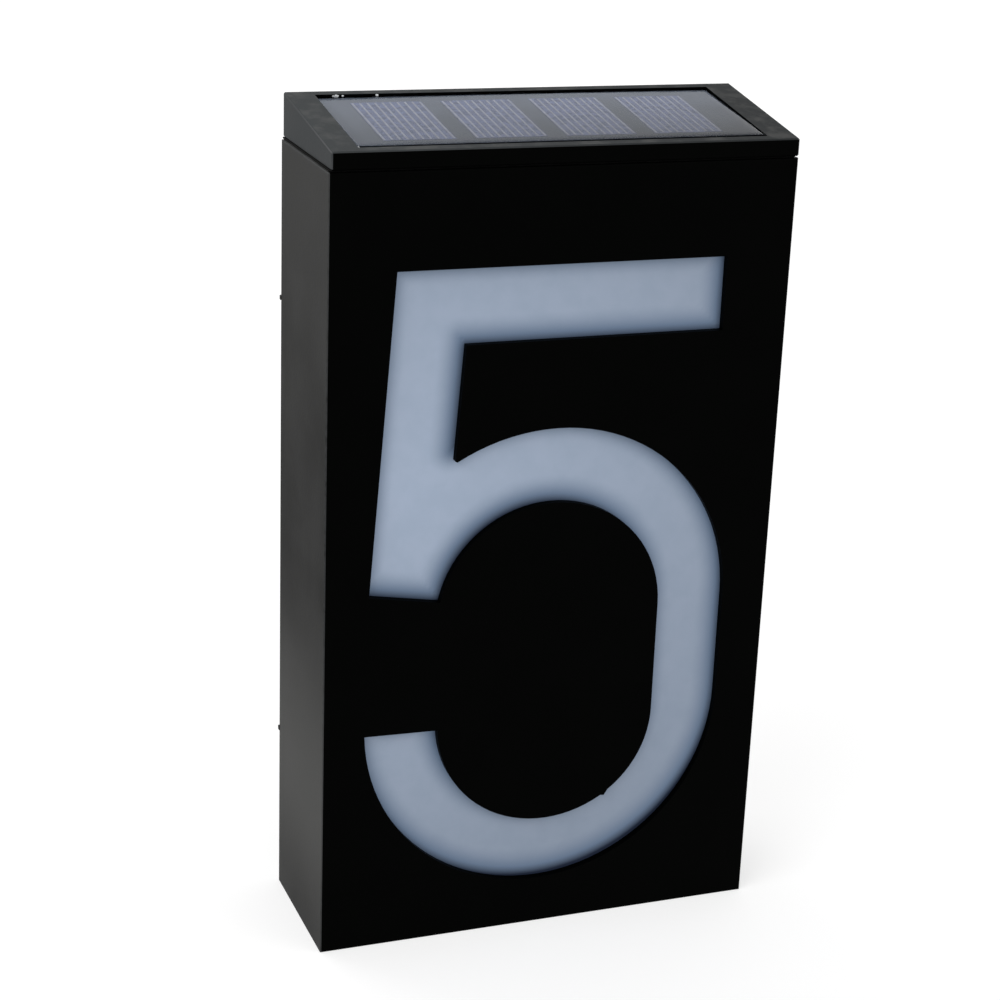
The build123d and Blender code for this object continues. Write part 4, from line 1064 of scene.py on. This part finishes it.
class SIGN_OT_screws(bpy.types.Operator):
    """Build the cross-head screws in place of the plain ones"""

    bl_idname = "sign.screws"
    bl_label = "Screws"

    def execute(self, context):
        settings = context.scene.sign_screws
        black, bright = (
            plain_material(name, pair, rough, 0.001, metal=True, sunk="recess")
            for name, pair, rough in (
                ("Black screws", ((0.05, 0.05, 0.052), (0.1, 0.1, 0.1)), (0.3, 0.45)),
                ("Plated screws", ((0.36, 0.35, 0.33), (0.52, 0.51, 0.48)), (0.25, 0.4)),
            )
        )
        sets = (
            ("rear_cover_screws", "rear_screw_set", 1, 1, BODY, bright),
            ("battery_door_screws", "door_screw_set", 1, 1, DOOR, bright),
            ("tray_screws", "tray_screw_set", 1, 1, BODY, bright),
            ("control_board_screws", "board_screw_set", 1, -1, BODY, bright),
            ("cap_screws", "cap_screw_set", 2, -1, BODY, black),
        )
        for node, name, axis, way, body, finish in sets:
            points, faces, recess = self.screw_set(node, axis, way, settings)
            values = {"recess": recess}
            piece = make_piece(name, points, faces, body, finish, 35, values)
            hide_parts(node)
        return {"FINISHED"}

    def screw_set(self, node, axis, way, settings):
        """Points, faces and recess mask of all the screws of a CAD node, with their heads
        towards the axis's way. A screw is what lies near the first point that is left."""
        head_span = 5 * MM
        points = node_points(node)
        flat = [i for i in range(3) if i != axis]
        outward = np.zeros(3)
        outward[axis] = way
        parts, masks = [], []
        left = np.ones(len(points), bool)
        while left.any():
            away = points[:, flat] - points[left][0, flat]
            near = left & (np.linalg.norm(away, axis=1) < head_span)
            left &= ~near
            own = points[near]
            origin = (own.min(axis=0) + own.max(axis=0)) / 2
            radius = np.ptp(own[:, flat[0]]) / 2
            depths = own[:, axis] * way
            out = np.linalg.norm(own[:, flat] - origin[flat], axis=1)
            underside = depths[out > radius * 0.9].min()
            origin[axis] = underside * way
            (shape, faces), mask = self.one_screw(
                radius, depths.max() - underside, underside - depths.min(), settings
            )
            parts.append((placed(shape, origin, (1, 0, 0), outward), faces))
            masks.append(mask)
        return (*join_parts(parts), np.concatenate(masks))

    def one_screw(self, radius, head, length, settings):
        """One screw with its head's underside at zero. The head is a shallow dome, the cross
        recess sinks where either of two crossed bars covers a point, and the shank's radius
        follows a ridge that climbs one pitch a turn and fades at the tip. The mask beside it
        is one in the recess."""
        count, shank, soft = 72, 0.95 * MM, 0.12 * MM
        core, taper, deepest = shank * 0.76, 1.2 * MM, 0.9 * MM
        angles = full_turn(count)
        span, arm = settings.recess_span / 2, settings.recess_width / 2
        ring_radius = np.concatenate(
            [np.linspace(0, span * 1.1, 18), np.linspace(span * 1.25, radius * 0.97, 5)]
        )
        r = np.broadcast_to(ring_radius[:, None], (len(ring_radius), count))
        x, y = np.abs(r * np.cos(angles)), np.abs(r * np.sin(angles))

        def inside(value, limit):
            """One well inside the limit, nothing past it, and a smooth step between."""
            share = np.clip((limit - value) / soft + 0.5, 0, 1)
            return share * share * (3 - 2 * share)

        bars = np.maximum(inside(x, arm) * inside(y, span), inside(y, arm) * inside(x, span))
        sink = min(head * 0.75, deepest) * (1 - 0.45 * r / span).clip(0.2, 1)
        dome = head * (1 - 0.22 * (r / radius) ** 2)
        head_top = np.stack([r, dome - sink * bars], axis=-1)
        rolls = np.array([[0.995, 0.66], [1.0, 0.5], [1.0, 0.16], [0.97, 0.0]])
        side = np.broadcast_to((rolls * (radius, head))[:, None, :], (len(rolls), count, 2))
        drop = np.linspace(0, 1, max(4, int(length / settings.thread_pitch * 8)))
        down = np.broadcast_to((-length * drop)[:, None], (len(drop), count))
        phase = down / settings.thread_pitch + angles / (2 * pi)
        ridge = np.abs((phase % 1.0) - 0.5) * 2
        fade = np.clip((1 - drop) * length / taper, 0, 1)[:, None]
        body = (core + (shank - core) * ridge**2.5) * (0.45 + 0.55 * fade)
        thread = np.stack([body, down], axis=-1)
        tip = np.broadcast_to((0.0, -length), (1, count, 2))
        rings = np.concatenate([head_top, side, thread, tip])
        rings[0, :, 0] = 0
        mask = np.zeros(rings.shape[:2])
        mask[: len(bars)] = bars
        return turned(rings, angles), np.concatenate([mask[1:-1].reshape(-1), [1.0, 0.0]])


class SIGN_OT_power(bpy.types.Operator):
    """Build the battery and the cap's gasket, and finish the contacts, leads and seals"""

    bl_idname = "sign.power"
    bl_label = "Battery and leads"

    def execute(self, context):
        self.build_battery()
        pair = ((0.5, 0.49, 0.46), (0.66, 0.65, 0.61))
        contact = plain_material("Nickel plate", pair, (0.2, 0.38), 0.002, metal=True)
        paint(contact, "battery_leaf", "battery_spring")
        pair = ((0.003,) * 3, (0.008,) * 3)
        rubber = plain_material("Seal rubber", pair, (0.75, 0.9), 0.0012, 0.08 * MM, 0.05)
        paint(rubber, "rear_seal", "door_seal", "cap_seal")
        points, faces = self.cap_gasket()
        gasket = make_piece("cap_gasket", points, faces, BODY, rubber, 50)
        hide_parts("cap_seal")
        pair = ((0.015,) * 3, (0.025,) * 3)
        soft = plain_material("Grommet rubber", pair, (0.6, 0.7), 0.002, 0.03 * MM)
        paint(soft, "lead_grommet")
        red, black, white = (0.35, 0.02, 0.02), (0.012, 0.012, 0.013), (0.6, 0.6, 0.58)
        panel, strips = np.array(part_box("panel_leads")), np.array(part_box("led_leads"))
        leads = (
            ("Panel leads", "panel_leads", panel[:, 0].mean(), (red, black)),
            ("Battery leads", "battery_leads", 0.0, (black, red)),
            ("Lamp leads", "led_leads", strips[:, 0].mean(), (white, red)),
        )
        for name, node, middle, colours in leads:
            paint(split_material(name, 0, middle, colours, (0.35, 0.4)), node)
        return {"FINISHED"}

    def cap_gasket(self):
        """Seal under the cap: a closed profile carried round a rectangle with rounded corners.
        Its sides bulge by one minus the square of the way up. It is squeezed out to the seam on
        the left and at the rear."""
        low = CAP_LOW[:2] + (-0.15 * MM, 0.8 * MM)
        high = CAP_HIGH[:2] - (0.6 * MM, 0.03 * MM)
        width, bulge, radius = 1.5 * MM, 0.08 * MM, 0.15 * MM
        angles = full_turn(32) + pi / 32
        way = np.stack([np.cos(angles), np.sin(angles)], axis=-1)
        edge = np.where(way > 0, high, low)
        up = np.linspace(0, 1, 6)
        swell = bulge * (1 - (2 * up - 1) ** 2) - bulge
        out = np.concatenate([swell, -width - swell[::-1]])[:, None, None]
        level = np.concatenate([up, up[::-1]]) * (CAP_BASE - HOUSING_HIGH[2])
        flat = edge + np.sign(way) * (out - radius) + way * radius
        height = np.broadcast_to(HOUSING_HIGH[2] + level[:, None, None], (*flat.shape[:2], 1))
        points = np.concatenate([flat, height], axis=-1).reshape(-1, 3)
        numbers = np.arange(len(points)).reshape(flat.shape[:2])
        above = np.roll(numbers, -1, axis=0)
        ring = (numbers, np.roll(numbers, -1, axis=1), np.roll(above, -1, axis=1), above)
        return points, np.stack(ring, axis=-1).reshape(-1, 4).tolist()

    def build_battery(self):
        """Battery: a profile turned about X. From the flat end's sunk steel disc out to the
        sleeve's folded lip, along the sleeve with its groove, in over the shoulder and up the
        raised end."""
        low, high = np.array(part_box("battery"))
        radius, length = (high[2] - low[2]) / 2, high[0] - low[0]
        fold, groove, nub_radius, nub_height = 0.35 * MM, 0.12 * MM, 2.6 * MM, 1.3 * MM
        body = length - nub_height
        profile = (
            (0, 0.15 * MM),
            (radius * 0.70, 0.15 * MM),
            (radius * 0.74, 0.02 * MM),
            (radius - fold, 0),
            (radius - fold * 0.3, fold * 0.3),
            (radius, fold),
            (radius, 1.2 * MM),
            (radius - groove, 1.5 * MM),
            (radius - groove, 2.0 * MM),
            (radius, 2.3 * MM),
            (radius, body - 1.1 * MM),
            (radius - 0.05 * MM, body - fold * 1.5),
            (radius - fold * 0.5, body - fold * 0.4),
            (radius - fold * 1.6, body),
            (radius * 0.74, body - 0.05 * MM),
            (radius * 0.70, body - 0.25 * MM),
            (nub_radius + 0.5 * MM, body - 0.25 * MM),
            (nub_radius, body),
            (nub_radius, length - 0.35 * MM),
            (nub_radius - 0.3 * MM, length),
            (0, length),
        )
        points, faces = turned_profile(profile[::-1], 64)
        origin = (low[0], (low[1] + high[1]) / 2, (low[2] + high[2]) / 2)
        points = placed(points, origin, (0, 1, 0), (1, 0, 0))
        finish = wrap_material(low, high)
        piece = make_piece("battery_cell", points, faces, BODY, finish, 30)
        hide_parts("battery")


class SIGN_OT_electronics(bpy.types.Operator):
    """Finish the light tray, strips, lamps, control board and slide switch"""

    bl_idname = "sign.electronics"
    bl_label = "Lamps and control board"

    def execute(self, context):
        steel_pair = ((0.5, 0.5, 0.5), (0.65, 0.65, 0.64))
        tray_pair = ((0.74, 0.74, 0.72), (0.8, 0.8, 0.78))
        ferrite_pair = ((0.03, 0.03, 0.032), (0.06, 0.06, 0.06))
        body_pair = ((0.02,) * 3, (0.035,) * 3)
        rows = (
            ("Tray plastic", "light_tray", tray_pair, (0.35, 0.5), 0.01, 0.02 * MM, False),
            ("Ferrite", "choke", ferrite_pair, (0.6, 0.8), 0.001, 0.05 * MM, False),
            ("Switch body", "switch_body", body_pair, (0.5, 0.6), 0.002, 0.0, False),
            ("Switch frame", "switch_frame", steel_pair, (0.25, 0.4), 0.002, 0.0, True),
        )
        for name, node, pair, rough, size, depth, metal in rows:
            paint(plain_material(name, pair, rough, size, depth, metal=metal), node)
        strip = board_material("Strip board", (0.72, 0.73, 0.72), (0.62, 0.64, 0.63), 0.0012)
        paint(strip, "led_strip_left", "led_strip_right")
        green = board_material("Control board", (0.01, 0.10, 0.045), (0.02, 0.17, 0.08), 0.0014)
        paint(green, "control_board")
        self.finish_lamps()
        can_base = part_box("capacitor")[0][1] + 0.3 * MM
        colours = ((0.6, 0.6, 0.6), (0.03, 0.05, 0.12))
        paint(split_material("Capacitor can", 1, can_base, colours, (0.3, 0.4)), "capacitor")
        leg_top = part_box("control_chip")[1][1] - 0.32 * MM
        colours = ((0.02, 0.02, 0.02), (0.6, 0.6, 0.58))
        paint(split_material("Chip case", 1, leg_top, colours, (0.55, 0.3), 0.9), "control_chip")
        return {"FINISHED"}

    def finish_lamps(self):
        """Lamps in two rows of four."""
        half, length, gaps = 1.4 * MM, 3.5 * MM, 3
        low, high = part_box("leds")
        pitch = (high[2] - low[2] - length) / gaps
        centres = (low[0] + half, high[0] - half)
        paint(lamp_material(centres, low[2] + length / 2, pitch, half), "leds")


def seen_directly(tree):
    """One for camera, glossy and transmission rays, and nothing for the rest."""
    path = add_node(tree, "ShaderNodeLightPath").outputs
    both = maths(tree, "ADD", path["Is Camera Ray"], path["Is Glossy Ray"], clamp=True)
    return maths(tree, "ADD", both, path["Is Transmission Ray"], clamp=True)


class SIGN_OT_stage(bpy.types.Operator):
    """Set the camera, the lamps, the pale floor and the surroundings"""

    bl_idname = "sign.stage"
    bl_label = "Stage"

    def execute(self, context):
        settings = context.scene.sign_stage
        scene = context.scene
        self.set_camera(scene, settings)
        self.set_world(scene, settings)
        self.build_floor()
        lamps = (
            ("key_lamp", (-1.1, -0.7, 1.5), 1.1, 10.0),
            ("fill_lamp", (1.3, -1.2, 0.9), 1.2, 4.0),
            ("back_lamp", (-0.7, 1.4, 1.2), 1.2, 6.0),
        )
        for lamp in lamps:
            self.add_lamp(*lamp)
        scene.view_settings.view_transform = "Standard"
        return {"FINISHED"}

    def set_camera(self, scene, settings):
        """Camera at the photograph's angle."""
        data = bpy.data.cameras.new("camera")
        data.sensor_width = 36.0
        data.lens = settings.lens
        data.shift_x, data.shift_y = settings.shift
        data.clip_start = 0.01
        data.clip_end = 50.0
        camera = link_new("camera", data)
        camera.location = settings.camera_place
        camera.rotation_euler = settings.camera_turn
        scene.camera = camera

    def set_world(self, scene, settings):
        """White to the camera and in gloss and glass; soft light to everything else."""
        world = bpy.data.worlds.new("surroundings")
        world.use_nodes = True
        tree = world.node_tree
        tree.nodes.clear()
        white = (1.0, 1.0, 1.0, 1.0)
        light, backdrop = (
            add_node(tree, "ShaderNodeBackground", {"Color": white, "Strength": level}).outputs[0]
            for level in (settings.room_light, 1.0)
        )
        mix = {0: seen_directly(tree), 1: light, 2: backdrop}
        mixed = add_node(tree, "ShaderNodeMixShader", mix).outputs[0]
        add_node(tree, "ShaderNodeOutputWorld", {"Surface": mixed})
        scene.world = world

    def build_floor(self):
        """Round floor: rings that spread as the square of their number, flat, just under the
        object, and closed below. To the camera it brightens with distance, to near white."""
        count, reach, thickness = 14, 7.0, 0.01
        radius = np.append(reach * np.linspace(0, 1, count) ** 2, 0.0)
        height = np.append(np.zeros(count), -thickness)
        points, faces = turned_profile(np.stack([radius, height], axis=-1), 64)
        points[:, 2] += CAD_BOX[0][2]
        mesh = bpy.data.meshes.new("floor")
        mesh.from_pydata(points.tolist(), [], faces)
        floor = link_new("floor", mesh)
        material, tree = new_material("Pale floor")
        away = vector_maths(tree, "LENGTH", {0: object_place(tree)}, "Value")
        lift = product(tree, seen_directly(tree), ramp(tree, away, 0.5, 2.5, 0.55, 0.64))
        matt = add_node(tree, "ShaderNodeBsdfDiffuse", {"Color": (0.55, 0.55, 0.55, 1.0)})
        glow = add_node(tree, "ShaderNodeEmission", {"Strength": lift})
        both = add_node(tree, "ShaderNodeAddShader", {0: matt.outputs[0], 1: glow.outputs[0]})
        add_node(tree, "ShaderNodeOutputMaterial", {"Surface": both.outputs[0]})
        mesh.materials.append(material)

    def add_lamp(self, name, place, size, power):
        """Square soft lamp that looks at the middle of the sign."""
        data = bpy.data.lights.new(name, "AREA")
        data.shape = "SQUARE"
        data.size = size
        data.energy = power
        lamp = link_new(name, data)
        aim = Vector((0.0, 0.0, float(HOUSING_HIGH[2]) / 2)) - Vector(place)
        lamp.location = place
        lamp.rotation_euler = aim.to_track_quat("-Z", "Y").to_euler()


class SIGN_PT_panel(bpy.types.Panel):
    """Sidebar panel with the sign's settings and steps"""

    bl_idname = "SIGN_PT_panel"
    bl_label = "House number sign"
    bl_space_type = "VIEW_3D"
    bl_region_type = "UI"
    bl_category = "House number"

    def draw(self, context):
        for settings, steps in STEPS:
            box = self.layout.box()
            group = getattr(context.scene, settings, None) if settings else None
            for key in group.__annotations__ if group else ():
                box.prop(group, key)
            for step in steps:
                box.operator(step.bl_idname)


SETTINGS = {
    "sign_shell": ShellSettings,
    "sign_sheet": SheetSettings,
    "sign_panel": PanelSettings,
    "sign_screws": ScrewSettings,
    "sign_stage": StageSettings,
}
STEPS = (
    ("sign_shell", (SIGN_OT_shell,)),
    ("sign_sheet", (SIGN_OT_numeral,)),
    ("sign_panel", (SIGN_OT_panel, SIGN_OT_glue)),
    ("sign_screws", (SIGN_OT_screws,)),
    (None, (SIGN_OT_power, SIGN_OT_electronics)),
    ("sign_stage", (SIGN_OT_stage,)),
)
CLASSES = (*SETTINGS.values(), *(step for _, steps in STEPS for step in steps), SIGN_PT_panel)


def register():
    """Register the classes and their settings."""
    for kind in CLASSES:
        bpy.utils.register_class(kind)
    for name, kind in SETTINGS.items():
        setattr(bpy.types.Scene, name, bpy.props.PointerProperty(type=kind))


def unregister():
    """Take everything that register added away again."""
    for name in SETTINGS:
        delattr(bpy.types.Scene, name)
    for kind in reversed(CLASSES):
        bpy.utils.unregister_class(kind)


def main():
    """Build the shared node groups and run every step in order."""
    register()
    for build in (grain_group, highlight_group, dust_group):
        build()
    bpy.ops.sign.shell()
    bpy.ops.sign.numeral()
    bpy.ops.sign.panel()
    bpy.ops.sign.glue()
    bpy.ops.sign.screws()
    bpy.ops.sign.power()
    bpy.ops.sign.electronics()
    bpy.ops.sign.stage()


if __name__ == "__main__":
    main()
